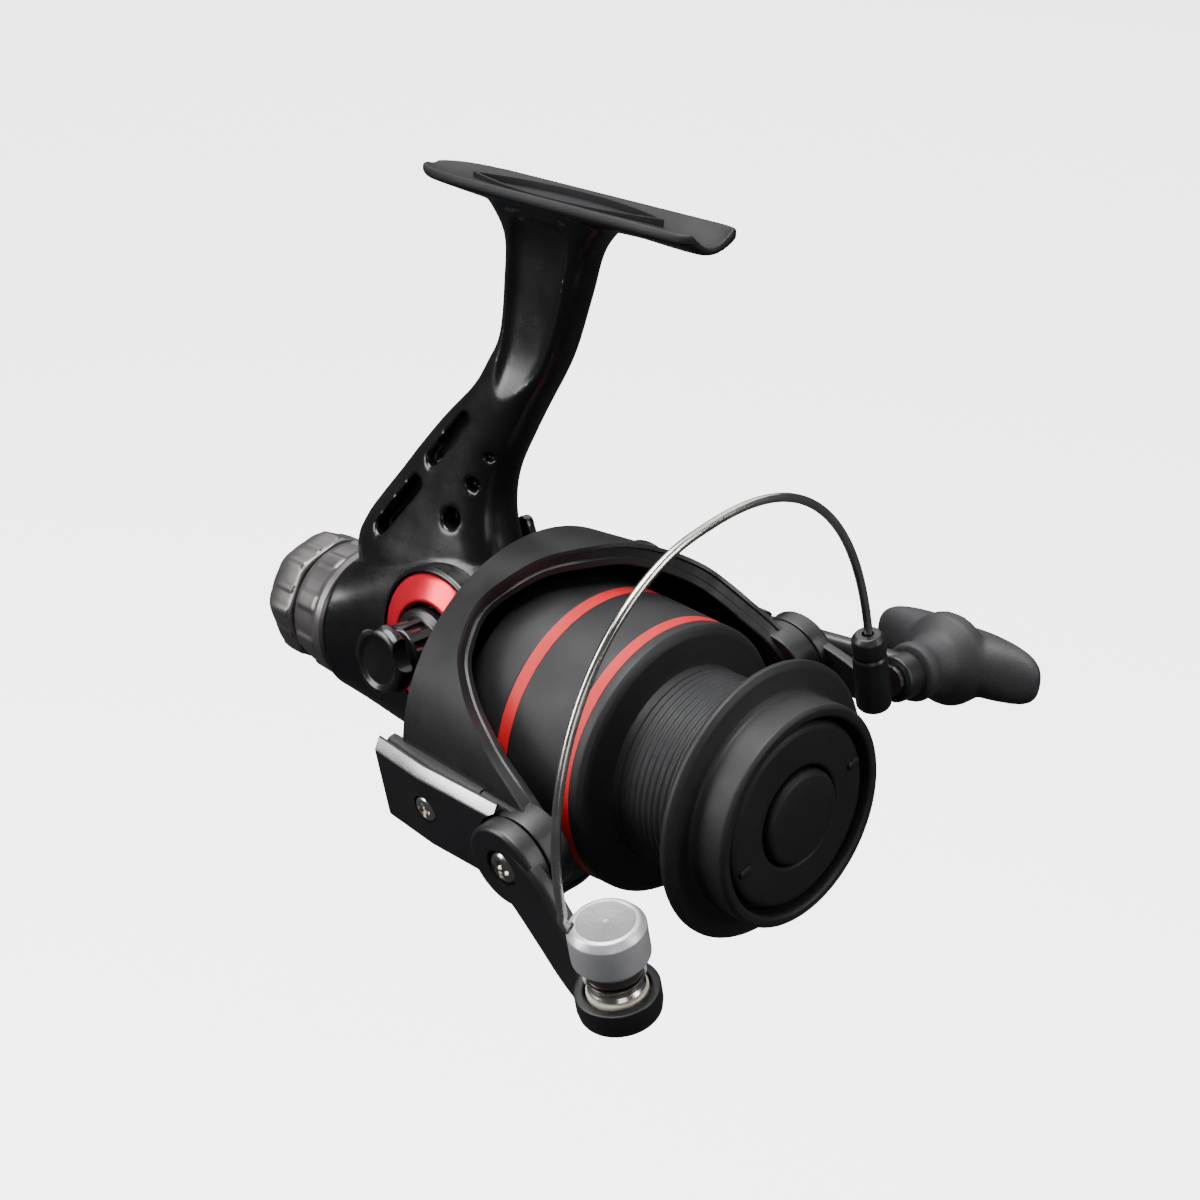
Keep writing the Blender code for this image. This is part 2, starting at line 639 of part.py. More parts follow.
def build_spool(spool):
    add("spool", turned(spool_profile(), 30), "matte_black", spool)
    cap = add("spool_cap", turned([(3.6, 9.5), (3.6, 16.8), (6.6, 16.8), (7.3, 16.2), (7.3, 9.5)], 32),
              "satin_black", spool)
    for index, side in enumerate((-1, 1)):
        mark = box((6.9, -0.9, 14.2), (7.7, 0.9, 15.6))
        mark.transform(Matrix.Rotation(math.radians(25 + 90 * side), 4, "X"))
        join(cap, mark, f"tab_{index}")
    add("main_shaft", rod((-121.4, 0.0, 0.0), (-3.0, 0.0, 0.0), SHAFT_RADIUS, 16), "bright_steel", spool)
    add("spool_washer", turned([(-27.6, 1.8), (-27.6, 5.0), (-24.8, 5.0), (-24.8, 1.8)], 16),
        "white_nylon", spool)
    add("button_spring", coil(-1.3, 5.2, 0.25, 2.0, 0.65), "bright_steel", spool)


def build_button(button):
    profile = [(1.4, 0.0), (1.4, BUTTON_RADIUS), (7.8, BUTTON_RADIUS), (8.3, BUTTON_RADIUS - 0.5),
               (8.6, 4.5), (8.7, 0.0)]
    add("spool_button", turned(profile, 30), "satin_black", button, (8.0, 0.0, 0.0))


# ---------------------------------------------------------------- rotor
RIM_EDGE = ((0.0, -21.0), (10.0, -22.0), (19.0, -28.6), (30.0, -34.0), (74.0, -43.8), (97.0, -49.7),
            (116.0, -52.6),
            (133.0, -50.0), (147.0, -42.0), (159.0, -32.0), (170.0, -22.0), (180.0, -21.0))


def rotor_shell(steps=44):
    """The rotor cup: the front edge of its wall dips between the two arms."""
    mesh = bmesh.new()
    rings = []
    for i in range(steps):
        angle = 360.0 * i / steps
        front = smooth_between(RIM_EDGE, angle % 180.0)
        section = [(ROTOR_REAR, 19.2), (ROTOR_REAR, 31.4), (ROTOR_REAR + 1.4, 33.4),
                   (front, WALL_OUTER), (front, WALL_INNER),
                   (-58.6, 29.8), (-58.6, 22.4), (-45.6, 22.2), (-44.2, 20.6), (-42.2, 9.0),
                   (-42.2, 3.45), (-46.2, 3.45),
                   (-46.2, 17.0), (-47.8, 19.2)]
        c, s = math.cos(math.radians(angle)), math.sin(math.radians(angle))
        rings.append([mesh.verts.new((x, radius * c, radius * s)) for x, radius in section])
    for first, second in zip(rings, rings[1:] + rings[:1]):
        join_rings(mesh, first, second)
    return closed(mesh)


def arm_height(x):
    """Height of the arm's outer face above the spool axis, rising towards the pivot and then level."""
    return min(35.2, 34.0 + (x + 62.5) * 0.096)


def arm_block(side, stations, half_width):
    """A bar on one rotor arm from (x, inner, outer) stations, chamfered along its outer edges."""
    rings = []
    for x, inner, outer in stations:
        w = half_width
        section = [(inner, -w), (inner, w), (outer - 0.8, w), (outer, w - 0.8), (outer, 0.8 - w),
                   (outer - 0.8, -w)]
        rings.append([(x, side * n, v) for n, v in section])
    return loft(rings)


def build_rotor(rotor):
    shell = add("rotor", rotor_shell(), "satin_black", rotor)
    for label, side in (("far", 1), ("near", -1)):
        stations = [(-62.8, 31.4, arm_height(-62.8)), (-36.2, 31.4, arm_height(-36.2))]
        join(shell, arm_block(side, stations, ARM_HALF_WIDTH), f"arm_{label}")
        neck = [(-37.0, 31.1, 35.1), (PIVOT_X, 31.1, 35.1)]
        join(shell, arm_block(side, neck, ARM_HALF_WIDTH - 0.3), f"neck_{label}")
        join(shell, rod((PIVOT_X, side * 30.8, 0.0), (PIVOT_X, side * PAD_FACE, 0.0), 8.2, 20),
             f"pad_{label}")
        cut(shell, rod((PIVOT_X, side * 33.2, 0.0), (PIVOT_X, side * 38.0, 0.0), 2.2, 14),
            f"pivot_hole_{label}")
        cut(shell, rod((-50.0, side * 32.0, 0.0), (-50.0, side * 38.0, 0.0), 1.4, 12),
            f"cover_hole_{label}")
    spring_room = [(-33.9, 3.4), (-33.9, 6.4), (-38.0, 6.4), (-38.0, 3.4)]
    cut(shell, turned(spring_room, 18, "Y", (PIVOT_X, 0.0, 0.0)), "spring_room")


def build_rotor_fittings(rotor):
    for label, side in (("near", -1), ("far", 1)):
        stations = []
        for x in (-63.4, -50.0, -30.0):
            stations.append((x, arm_height(x) + 0.3, arm_height(x) + 2.3))
        cover = add(f"arm_cover_{label}", arm_block(side, stations, 9.3), "satin_black", rotor)
        cut(cover, rod((PIVOT_X, side * 30.0, 0.0), (PIVOT_X, side * 44.0, 0.0), 8.9, 30), "hub_room")
        cut(cover, rod((-50.0, side * 30.0, 0.0), (-50.0, side * 42.0, 0.0), 1.4, 12), "screw_hole")
        cut(cover, rod((-50.0, side * 36.6, 0.0), (-50.0, side * 42.0, 0.0), 3.0, 14), "counterbore")
        build_screw(rotor, f"cover_screw_{label}", -50.0, side, 32.4, 36.9, 37.7, 1.1, 2.6)
        build_screw(rotor, f"pivot_screw_{label}", PIVOT_X, side, 33.6, 39.5, 41.0, 1.9, 3.3)
    nut = prism([(6.4 * math.cos(math.radians(60 * i)),
                  6.4 * math.sin(math.radians(60 * i))) for i in range(6)], -41.9, -38.9, "X")
    piece = add("rotor_nut", nut, "brass", rotor)
    cut(piece, rod((-45.0, 0.0, 0.0), (-36.0, 0.0, 0.0), 3.45, 16), "bore")
    spring = coil(0.0, 4.9, 0.4, 2.0, 0.9)
    spring.transform(Matrix.Translation((PIVOT_X, -35.2, 0.0)) @ Matrix.Rotation(math.pi / 2, 4, "Z"))
    add("bail_spring", spring, "bright_steel", rotor)
    build_ratchet(rotor)


def build_screw(parent, name, x, side, inner, under_head, top, shank, head):
    """A cross-head screw pointing in towards the spool axis."""
    profile = [(inner, 0.0), (inner, shank), (under_head, shank), (under_head, head), (top, head),
               (top, 0.0)]
    mesh = turned([(side * n, r) for n, r in profile], 14, "Y", (x, 0.0, 0.0))
    screw = add(name, mesh, "bright_steel", parent)
    low, high = sorted((side * (top - 0.6), side * (top + 1.0)))
    long, thin = head * 0.62, head * 0.14
    cut(screw, box((x - long, low, -thin), (x + long, high, thin)), "slot_a")
    cut(screw, box((x - thin, low, -long), (x + thin, high, long)), "slot_b")


def build_ratchet(rotor):
    outline = []
    for i in range(12):
        start = math.radians(30 * i)
        outline.append((7.4 * math.cos(start), 7.4 * math.sin(start)))
        outline.append((8.8 * math.cos(start + 0.02), 8.8 * math.sin(start + 0.02)))
        middle = start + math.radians(15)
        outline.append((8.1 * math.cos(middle), 8.1 * math.sin(middle)))
    ratchet = add("anti_reverse_ratchet", prism(outline, -50.6, -48.4, "X"), "zinc", rotor)
    cut(ratchet, rod((-55.0, 0.0, 0.0), (-45.0, 0.0, 0.0), 3.45, 16), "bore")


# ---------------------------------------------------------------- bail
def strip(side, stations):
    """A flat bar beside the rotor: x, w, distance out, half width, half thickness at each station."""
    rings = []
    for i, (x, w, out, half_width, half_thick) in enumerate(stations):
        ahead = stations[min(i + 1, len(stations) - 1)]
        behind = stations[max(i - 1, 0)]
        heading = math.atan2(ahead[1] - behind[1], ahead[0] - behind[0])
        across = (-math.sin(heading), math.cos(heading))
        ring = []
        for a, b in ((-1, -1), (1, -1), (1, 0.5), (0.8, 1), (-0.8, 1), (-1, 0.5)):
            ring.append((x + across[0] * a * half_width, side * (out + b * half_thick),
                         w + across[1] * a * half_width))
        rings.append(ring)
    return loft(rings)


def hub(side, radius):
    profile = [(36.6, 0.0), (36.6, radius), (HUB_FACE - 0.6, radius), (HUB_FACE, radius - 0.6),
               (HUB_FACE, 0.0)]
    mesh = turned([(side * n, r) for n, r in profile], 30, "Y", (PIVOT_X, 0.0, 0.0))
    return mesh


def open_hub(item, side):
    cut(item, rod((PIVOT_X, side * 30.0, 0.0), (PIVOT_X, side * 45.0, 0.0), 2.2, 14), "pivot_hole")
    cut(item, rod((PIVOT_X, side * 39.2, 0.0), (PIVOT_X, side * 45.0, 0.0), 3.7, 16), "counterbore")


def build_bail_arm(bail):
    pivot = (PIVOT_X, 0.0, 0.0)
    arm = add("bail_arm", hub(-1, 8.3), "gloss_black", bail, pivot)
    stations = ((-29.0, 1.8, 39.4, 6.2, 1.1), (-21.0, -3.0, 39.6, 6.4, 1.5),
                (-14.0, -9.2, 40.1, 4.8, 2.0),
                (-9.2, -14.8, 40.6, 3.3, 2.4), (-4.0, -17.0, 41.0, 2.2, 3.4),
                (1.5, -16.6, ROLLER_S, 2.2, 4.6))
    join(arm, strip(-1, stations), "strip")
    seat = [(-18.6, 0.0), (-18.6, 6.6), (-17.6, 7.4), (-14.0, 7.4), (-14.0, 0.0)]
    join(arm, turned(seat, 22, "Z", (ROLLER_X, -ROLLER_S, 0.0)), "seat")
    open_hub(arm, -1)
    cut(arm, rod((ROLLER_X, -ROLLER_S, -22.0), (ROLLER_X, -ROLLER_S, -10.0), 1.9, 14), "screw_hole")
    cut(arm, rod((ROLLER_X, -ROLLER_S, -22.0), (ROLLER_X, -ROLLER_S, -16.8), 3.4, 14), "screw_recess")


def build_roller(bail, roller):
    place = (ROLLER_X, -ROLLER_S, 0.0)
    add("roller_bush", turned([(-13.7, 1.9), (-13.7, 5.4), (-12.0, 5.4), (-12.0, 1.9)], 22, "Z",
                              place), "white_nylon", bail)
    profile = [(-11.7, 1.9), (-11.7, 5.2), (-10.9, 4.7), (-9.8, 4.7), (-9.0, 5.6), (-9.0, 1.9)]
    pivot = (ROLLER_X, -ROLLER_S, -10.35)
    add("line_roller", turned(profile, 22, "Z", place), "silver", roller, pivot)
    cap = [(-8.7, 1.9), (-8.7, 5.8), (-7.4, 6.5), (-6.6, CAP_RADIUS), (1.0, CAP_RADIUS), (2.4, 5.6),
           (2.6, 0.0)]
    piece = add("bail_cap", turned([(-2.6, 0.0), (-2.6, 1.9)] + cap, 26, "Z", place), "silver", bail)
    along = (Vector(WIRE_BEND) - Vector(WIRE_ROOT)).normalized()
    cut(piece, rod(Vector(WIRE_ROOT) - 0.4 * along, Vector(WIRE_BEND) + 4.0 * along, 1.2), "wire_socket")
    profile = [(-18.4, 0.0), (-18.4, 3.0), (-17.1, 3.0), (-17.1, 1.6), (-3.0, 1.6), (-3.0, 0.0)]
    add("roller_screw", turned(profile, 14, "Z", place), "bright_steel", bail)


def wire_path(steps=34):
    """An arch from beside the roller cap, over the spool, to the post: squarer on the post's side."""
    middle_s, base_w, half_span, rise = -3.6, 5.0, 42.7, 49.8
    points = [WIRE_ROOT, WIRE_BEND]
    for i in range(steps + 1):
        angle = math.pi * (1.0 - i / steps)
        power = 2.0 if angle > math.pi / 2 else 2.5
        c, s = math.cos(angle), math.sin(angle)
        across = math.copysign(abs(c) ** (2.0 / power), c)
        up = abs(s) ** (2.0 / power)
        x = -4.0 + (POST_X + 4.0) * i / steps
        points.append((x, middle_s + half_span * across, base_w + rise * up))
    points.pop()
    points.append((POST_X, POST_S, 9.2))
    return points


def build_bail_wire(bail):
    add("bail_wire", swept(wire_path(), WIRE_RADIUS, 7), "bright_steel", bail, (PIVOT_X, 0.0, 0.0))


def build_bail_lever(bail):
    lever = add("bail_lever", hub(1, 8.0), "gloss_black", bail, (PIVOT_X, 0.0, 0.0))
    stations = ((-29.0, 0.4, 39.4, 5.2, 1.1), (-20.0, -1.0, 39.4, 5.0, 1.3),
                (-12.0, -2.0, 39.4, 3.6, 1.4),
                (POST_X, -2.4, POST_S, 2.8, 2.0))
    join(lever, strip(1, stations), "strip")
    post = [(-6.0, 0.0), (-6.0, 2.8), (-5.2, 3.4), (8.0, 3.2), (10.6, 2.8), (10.6, 0.0)]
    join(lever, turned(post, 20, "Z", (POST_X, POST_S, 0.0)), "post")
    cut(lever, rod((POST_X, POST_S, 8.6), (POST_X, POST_S, 14.0), 1.25, 12), "wire_socket")
    open_hub(lever, 1)


# ---------------------------------------------------------------- handle
def build_handle(crank, fold, knob):
    centre = (GEAR_X, 0.0, GEAR_Z)
    add("handle_shaft", rod((GEAR_X, -12.0, GEAR_Z), (GEAR_X, 36.0, GEAR_Z), 2.3, 14), "bright_steel",
        crank)
    profile = [(15.0, 0.0), (15.0, 8.2), (17.5, 8.2), (20.0, 6.0), (35.0, 5.4), (38.5, 8.0),
               (39.5, 9.0), (46.5, 9.0),
               (47.5, 8.0), (47.5, 0.0)]
    hub_piece = add("crank_hub", turned(profile, 26, "Y", centre), "gloss_black", crank)
    cut(hub_piece, rod((GEAR_X, 13.0, GEAR_Z), (GEAR_X, 36.3, GEAR_Z), 2.6, 16), "shaft_bore")
    cut(hub_piece, box((-75.2, 39.4, GEAR_Z - 5.4), (-60.0, 52.0, GEAR_Z + 5.4)), "fork")
    cut(hub_piece, rod((HINGE_X, HINGE_Y, GEAR_Z - 12.0), (HINGE_X, HINGE_Y, GEAR_Z + 12.0), 1.5, 12),
        "pin_hole")
    add("handle_hinge_pin", rod((HINGE_X, HINGE_Y, GEAR_Z - 7.2), (HINGE_X, HINGE_Y, GEAR_Z + 7.2),
                                1.2, 12), "bright_steel", crank)
    stations = ((-72.6, 43.0, 7.5, 5.0, 2.3), (-62.0, 43.3, 7.3, 4.6, 2.4), (-44.0, 46.0, 6.6, 4.0, 2.2),
                (-28.0, 51.4, 5.6, 4.2, 2.2), (-18.0, 54.4, 4.8, 4.6, 2.2),
                (KNOB_X + 1.0, 55.0, KNOB_Z, 4.6, 2.2))
    rings = []
    for x, y, z, half_high, half_thick in stations:
        section = rounded(y, z, half_thick, half_high, 16, 3.0)
        rings.append([(x, b, c) for b, c in section])
    arm = add("handle_arm", loft(rings), "gloss_black", fold, (HINGE_X, HINGE_Y, GEAR_Z))
    join(arm, rod((HINGE_X, HINGE_Y, GEAR_Z - 5.0), (HINGE_X, HINGE_Y, GEAR_Z + 5.0), 3.2, 16), "knuckle")
    join(arm, rod((KNOB_X, 52.7, KNOB_Z), (KNOB_X, 57.4, KNOB_Z), 4.7, 20), "tip")
    cut(arm, rod((HINGE_X, HINGE_Y, GEAR_Z - 8.0), (HINGE_X, HINGE_Y, GEAR_Z + 8.0), 1.5, 12), "pin_hole")
    cut(arm, rod((KNOB_X, 50.0, KNOB_Z), (KNOB_X, 60.0, KNOB_Z), 2.2, 14), "spindle_hole")
    cut(arm, rod((KNOB_X, 48.0, KNOB_Z), (KNOB_X, 52.8, KNOB_Z), 3.6, 18), "spindle_recess")
    profile = [(51.4, 0.0), (51.4, 3.2), (52.4, 3.2), (52.4, 1.9), (72.0, 1.9), (72.0, 0.0)]
    add("knob_spindle", turned(profile, 14, "Y", (KNOB_X, 0.0, KNOB_Z)), "bright_steel", fold)
    build_knob(knob)


def build_knob(knob):
    """A T-shaped paddle: a round neck that flares into a long flat bar."""
    stations = ((KNOB_BASE, 6.2, 6.2), (61.0, 5.6, 5.6), (65.0, 6.6, 5.8), (69.5, 11.0, 6.2),
                (73.5, 16.6, 6.5), (76.5, 19.4, 6.2),
                (79.0, 19.8, 5.2), (KNOB_TIP, 18.6, 3.8))
    rings = []
    for y, half_long, half_thick in stations:
        section = rounded(KNOB_X, KNOB_Z, half_long, half_thick, 24, 2.4)
        rings.append([(x, y, z) for x, z in section])
    grip = add("handle_knob", loft(rings), "soft_grip", knob, (KNOB_X, KNOB_BASE, KNOB_Z))
    cut(grip, rod((KNOB_X, 55.0, KNOB_Z), (KNOB_X, 72.4, KNOB_Z), 2.2, 14), "spindle_bore")


def build_lock_knob(lock):
    """The screw knob opposite the handle: a ribbed neck under a scalloped head."""
    centre = (GEAR_X, 0.0, GEAR_Z)
    profile = [(-12.4, 0.0), (-12.4, 5.8), (-13.4, 6.5), (-19.8, 6.5), (-20.4, 5.9), (-21.2, 5.9),
               (-22.2, 8.6), (-22.8, 9.2),
               (-25.4, 9.0), (-26.8, 7.6), (-27.0, 0.0)]
    piece = add("handle_lock_knob", turned(profile, 30, "Y", centre), "gloss_black", lock, centre)
    for i in range(8):
        angle = 2.0 * math.pi * i / 8
        x, z = GEAR_X + 6.9 * math.cos(angle), GEAR_Z + 6.9 * math.sin(angle)
        cut(piece, rod((x, -19.4, z), (x, -14.2, z), 1.1, 6), f"window_{i}")
    for i in range(5):
        angle = 2.0 * math.pi * (i + 0.35) / 5
        x, z = GEAR_X + 12.4 * math.cos(angle), GEAR_Z + 12.4 * math.sin(angle)
        cut(piece, rod((x, -29.0, z), (x, -20.6, z), 4.6, 14), f"scallop_{i}")


# ---------------------------------------------------------------- rear drag
def build_rear(root, sleeve, drag):
    profile = [(-108.3, 4.2), (-108.3, 13.9), (-109.4, 14.4), (-116.0, TAIL_RADIUS),
               (-118.2, TAIL_RADIUS - 0.3), (-118.7, 12.8),
               (-118.7, 9.6), (-110.6, 9.6), (-110.6, 4.2)]
    add("rear_cover", turned(profile, 34), "grey_plastic", root)
    add("drag_sleeve", turned([(-111.0, 1.8), (-111.0, 3.6), (-117.4, 3.6), (-117.4, 1.8)], 16),
        "brass", sleeve, (-114.0, 0.0, 0.0))
    washers = (("eared", root, "felt"), ("keyed", sleeve, "bright_steel"))
    x = -111.1
    for number in (1, 2):
        for kind, parent, finish in washers:
            add(f"drag_washer_{kind}_{number}", turned([(x, 3.9), (x, 9.0), (x - 0.8, 9.0),
                                                        (x - 0.8, 3.9)], 22), finish, parent)
            x -= 1.1
    add("drag_spring", coil(-117.0, 6.4, 0.45, 2.0, 0.95), "bright_steel", drag)
    add("drag_knob", drag_knob_mesh(), "grey_plastic", drag, (-125.0, 0.0, 0.0))


def drag_knob_mesh(steps=32, lobes=8):
    """A hollow knob whose outside swells into finger lobes."""
    profile = [(KNOB_FRONT, 10.8), (KNOB_FRONT, 12.9), (-120.2, 13.3), (-124.0, 13.2), (-127.2, 12.4),
               (-129.2, 10.6), (KNOB_REAR, 7.0),
               (-129.6, 0.0)]
    inner = [(-123.0, 0.0), (-123.0, 9.6), (-121.0, 10.8)]
    mesh = bmesh.new()
    rings = []
    for x, radius in inner + profile:
        if radius == 0.0:
            rings.append([mesh.verts.new((x, 0.0, 0.0))])
            continue
        swell = 0.35 if radius > 12.0 and x < -119.5 else 0.0
        ring = []
        for i in range(steps):
            angle = 2.0 * math.pi * i / steps
            r = radius + swell * math.cos(lobes * angle)
            ring.append(mesh.verts.new((x, r * math.cos(angle), r * math.sin(angle))))
        rings.append(ring)
    for first, second in zip(rings, rings[1:]):
        join_rings(mesh, first, second)
    return closed(mesh)


# ---------------------------------------------------------------- anti-reverse
def build_anti_reverse(root, lever_frame, pawl_frame):
    """The thumb lever on the far shoulder of the case, its spindle, and the pawl behind the ratchet."""
    pivot = (-75.0, 9.6, 26.2)
    lever = add("anti_reverse_lever", rod((-75.0, 8.8, 26.2), (-75.0, 10.6, 26.2), 2.4, 16),
                "gloss_black", lever_frame, pivot)
    thumb = prism([(-77.0, 26.6), (-73.0, 26.6), (-73.6, 31.8), (-76.4, 31.8)], 9.0, 10.9)
    join(lever, thumb, "thumb")
    pawl_pivot = (-49.6, 12.0, 7.0)
    pawl = prism([(10.6, 5.4), (13.4, 5.6), (13.2, 8.6), (7.0, 9.0), (5.4, 7.9), (6.6, 7.4)], -50.4,
                 -49.0, "X")
    item = add("anti_reverse_pawl", pawl, "zinc", pawl_frame, pawl_pivot)
    cut(item, rod((-52.0, 12.0, 7.0), (-47.0, 12.0, 7.0), 0.95, 12), "hole")
    add("pawl_pin", rod((-51.6, 12.0, 7.0), (-48.6, 12.0, 7.0), 0.65, 12), "bright_steel", root)


# ---------------------------------------------------------------- assembly
def build_guide_rod(root):
    add("slider_guide_rod", rod((-103.6, -0.5, -7.6), (-77.2, -0.5, -7.6), 1.2, 12), "bright_steel", root)


def main():
    root = empty("reel", (-FOOT_CENTRE_X, 0.0, -SEAT_FLOOR))
    crank = empty("crank_axis", (0.0, 0.0, 0.0), root)
    lock = empty("lock_axis", (0.0, 0.0, 0.0), root)
    idler = empty("idler_axis", (0.0, 0.0, 0.0), root)
    slide = empty("slide_axis", (0.0, 0.0, 0.0), root)
    spool = empty("spool_axis", (0.0, 0.0, 0.0), root)
    button = empty("button_axis", (0.0, 0.0, 0.0), spool)
    rotor = empty("rotor_axis", (0.0, 0.0, 0.0), root, (math.radians(ROTOR_TILT), 0.0, 0.0))
    bail = empty("bail_axis", (0.0, 0.0, 0.0), rotor)
    fold = empty("fold_axis", (0.0, 0.0, 0.0), crank)
    knob = empty("knob_axis", (0.0, 0.0, 0.0), fold)
    drag = empty("drag_axis", (0.0, 0.0, 0.0), root)
    sleeve = empty("sleeve_axis", (0.0, 0.0, 0.0), root)
    lever = empty("lever_axis", (0.0, 0.0, 0.0), root)
    pawl = empty("pawl_axis", (0.0, 0.0, 0.0), root)

    build_housing(root)
    build_side_cover(root)
    build_trim_rings(root)
    build_front_bearings(root)
    build_guide_rod(root)
    build_drive_gear(crank)
    build_oscillation_gear(root, idler)
    build_pinion(rotor)
    build_slider(slide)
    build_spool(spool)
    build_button(button)
    build_rotor(rotor)
    build_rotor_fittings(rotor)
    build_bail_arm(bail)
    build_roller(bail, bail)
    build_bail_wire(bail)
    build_bail_lever(bail)
    build_handle(crank, fold, knob)
    build_lock_knob(lock)
    build_rear(root, sleeve, drag)
    build_anti_reverse(root, lever, pawl)


clear_scene()
MATERIALS = {name: make_material(name, *values) for name, values in FINISHES.items()}
main()
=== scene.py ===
import json
import math

import bmesh
import bpy
from mathutils import Matrix, Vector


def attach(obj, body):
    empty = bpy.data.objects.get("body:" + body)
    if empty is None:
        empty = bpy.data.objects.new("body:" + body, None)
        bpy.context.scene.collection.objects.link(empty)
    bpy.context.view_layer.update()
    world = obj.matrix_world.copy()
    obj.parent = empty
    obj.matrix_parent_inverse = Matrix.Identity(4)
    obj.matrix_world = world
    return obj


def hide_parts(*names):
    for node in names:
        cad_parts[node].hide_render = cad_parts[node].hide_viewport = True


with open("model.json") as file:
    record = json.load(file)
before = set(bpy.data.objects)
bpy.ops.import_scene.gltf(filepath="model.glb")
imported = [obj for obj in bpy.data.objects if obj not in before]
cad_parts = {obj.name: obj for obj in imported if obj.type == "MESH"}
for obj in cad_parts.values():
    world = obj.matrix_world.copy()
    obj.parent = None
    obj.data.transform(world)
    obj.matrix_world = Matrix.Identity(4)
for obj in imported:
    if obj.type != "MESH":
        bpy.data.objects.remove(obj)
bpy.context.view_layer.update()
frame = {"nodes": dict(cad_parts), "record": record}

# The reel's own frame is in millimetres: X runs forward along the spool axis, Z up, +Y is the handle side.
MM = 0.001
REEL_ORIGIN = Vector((59.0, 0.0, -95.2))
GEAR = (-75.5, 7.5)
ROTOR_TILT = math.radians(16.0)
PIVOT_X = -26.0
ROLLER_X, ROLLER_S = 0.5, 41.2
POST_X, POST_S = -8.0, 38.8
HINGE = (-71.0, 43.0)
KNOB = (-14.5, 4.5)
WIRE_ROOT = (-2.6, -43.4, -3.2)
WIRE_BEND = (-4.05, -46.3, 3.0)
STEM_SLOTS = (
    ((-85.6, 41.2), (-77.6, 51.0), 1.5),
    ((-98.2, 24.2), (-89.4, 35.4), 1.7),
    ((-70.9, 45.2), (-70.7, 45.4), 1.0),
    ((-74.4, 39.0), (-74.2, 39.2), 1.4),
    ((-78.6, 31.2), (-78.4, 31.4), 2.1),
)
# Recess in each side of the upper stem: height, rear x, front x, distance from the middle plane
STEM_PANEL = (
    (55.0, -72.0, -63.0, 5.6),
    (59.0, -71.0, -60.6, 4.7),
    (64.0, -70.2, -58.6, 3.6),
    (70.0, -69.2, -56.6, 3.0),
    (80.0, -68.6, -54.4, 2.9),
    (86.0, -68.4, -53.2, 3.1),
    (90.0, -67.6, -52.8, 3.8),
    (92.6, -66.6, -53.0, 5.8),
)
TO_WORLD = Matrix.Diagonal((MM, MM, MM, 1.0)) @ Matrix.Translation(REEL_ORIGIN)
ROTOR_WORLD = TO_WORLD @ Matrix.Rotation(ROTOR_TILT, 4, "X")


# ---------------------------------------------------------------- camera, stage and light
def build_camera():
    data = bpy.data.cameras.new("photo_view")
    data.sensor_width = 36.0
    data.lens = 66.42
    data.clip_start = 0.01
    item = bpy.data.objects.new("photo_view", data)
    bpy.context.scene.collection.objects.link(item)
    item.location = (0.278677, -0.274468, 0.076540)
    item.rotation_euler = (math.radians(68.7522), math.radians(-3.4195), math.radians(45.1831))
    bpy.context.scene.camera = item


def area_light(name, place, target, size, power, colour=(1.0, 1.0, 1.0)):
    data = bpy.data.lights.new(name, "AREA")
    data.shape = "RECTANGLE"
    data.size, data.size_y = size
    data.energy = power
    data.color = colour
    item = bpy.data.objects.new(name, data)
    bpy.context.scene.collection.objects.link(item)
    item.location = place
    item.rotation_euler = (Vector(target) - Vector(place)).to_track_quat("-Z", "Y").to_euler()


def build_stage():
    sweep = bmesh.new()
    rings = []
    for radius, height in ((0.02, -0.42), (3.0, -0.42), (6.0, -0.42), (8.0, -0.2), (9.5, 0.8), (10.2, 2.6), (10.6, 7.0)):
        rings.append([sweep.verts.new((radius * math.cos(math.pi * i / 32), radius * math.sin(math.pi * i / 32), height))
                      for i in range(64)])
    for first, second in zip(rings, rings[1:]):
        for i in range(64):
            sweep.faces.new((first[i], first[i - 1], second[i - 1], second[i]))
    sweep.faces.new(rings[0])
    bmesh.ops.recalc_face_normals(sweep, faces=sweep.faces)
    bmesh.ops.reverse_faces(sweep, faces=sweep.faces)
    mesh = bpy.data.meshes.new("floor")
    sweep.to_mesh(mesh)
    sweep.free()
    mesh.shade_smooth()
    floor = bpy.data.objects.new("floor", mesh)
    bpy.context.scene.collection.objects.link(floor)
    material, shader, _ = new_material("studio_floor", (0.93, 0.93, 0.93), 0.8)
    shader.inputs["Specular IOR Level"].default_value = 0.1
    shader.inputs["Emission Color"].default_value = (1.0, 1.0, 1.0, 1.0)
    shader.inputs["Emission Strength"].default_value = 3.0
    mesh.materials.append(material)
    floor.visible_glossy = False
    floor.visible_diffuse = False
    world = bpy.data.worlds.new("studio")
    bpy.context.scene.world = world
    world.use_nodes = True
    back = world.node_tree.nodes["Background"]
    back.inputs["Color"].default_value = (0.9, 0.93, 1.0, 1.0)
    back.inputs["Strength"].default_value = 0.07
    area_light("softbox_top", (-0.10, -0.25, 0.85), (0.02, 0.0, -0.1), (0.75, 0.6), 22.0)
    area_light("softbox_left", (-0.55, -0.80, 0.30), (0.0, 0.0, -0.08), (0.4, 0.8), 12.0)
    area_light("softbox_right", (0.95, 0.35, 0.35), (0.0, 0.0, -0.08), (0.3, 0.8), 6.0)
    area_light("floor_wash", (-1.6, 1.8, 3.0), (-1.4, 1.6, -0.42), (5.0, 5.0), 160.0)
    area_light("front_fill", (0.8, -0.5, 0.0), (0.02, 0.0, -0.1), (0.4, 0.4), 1.2)


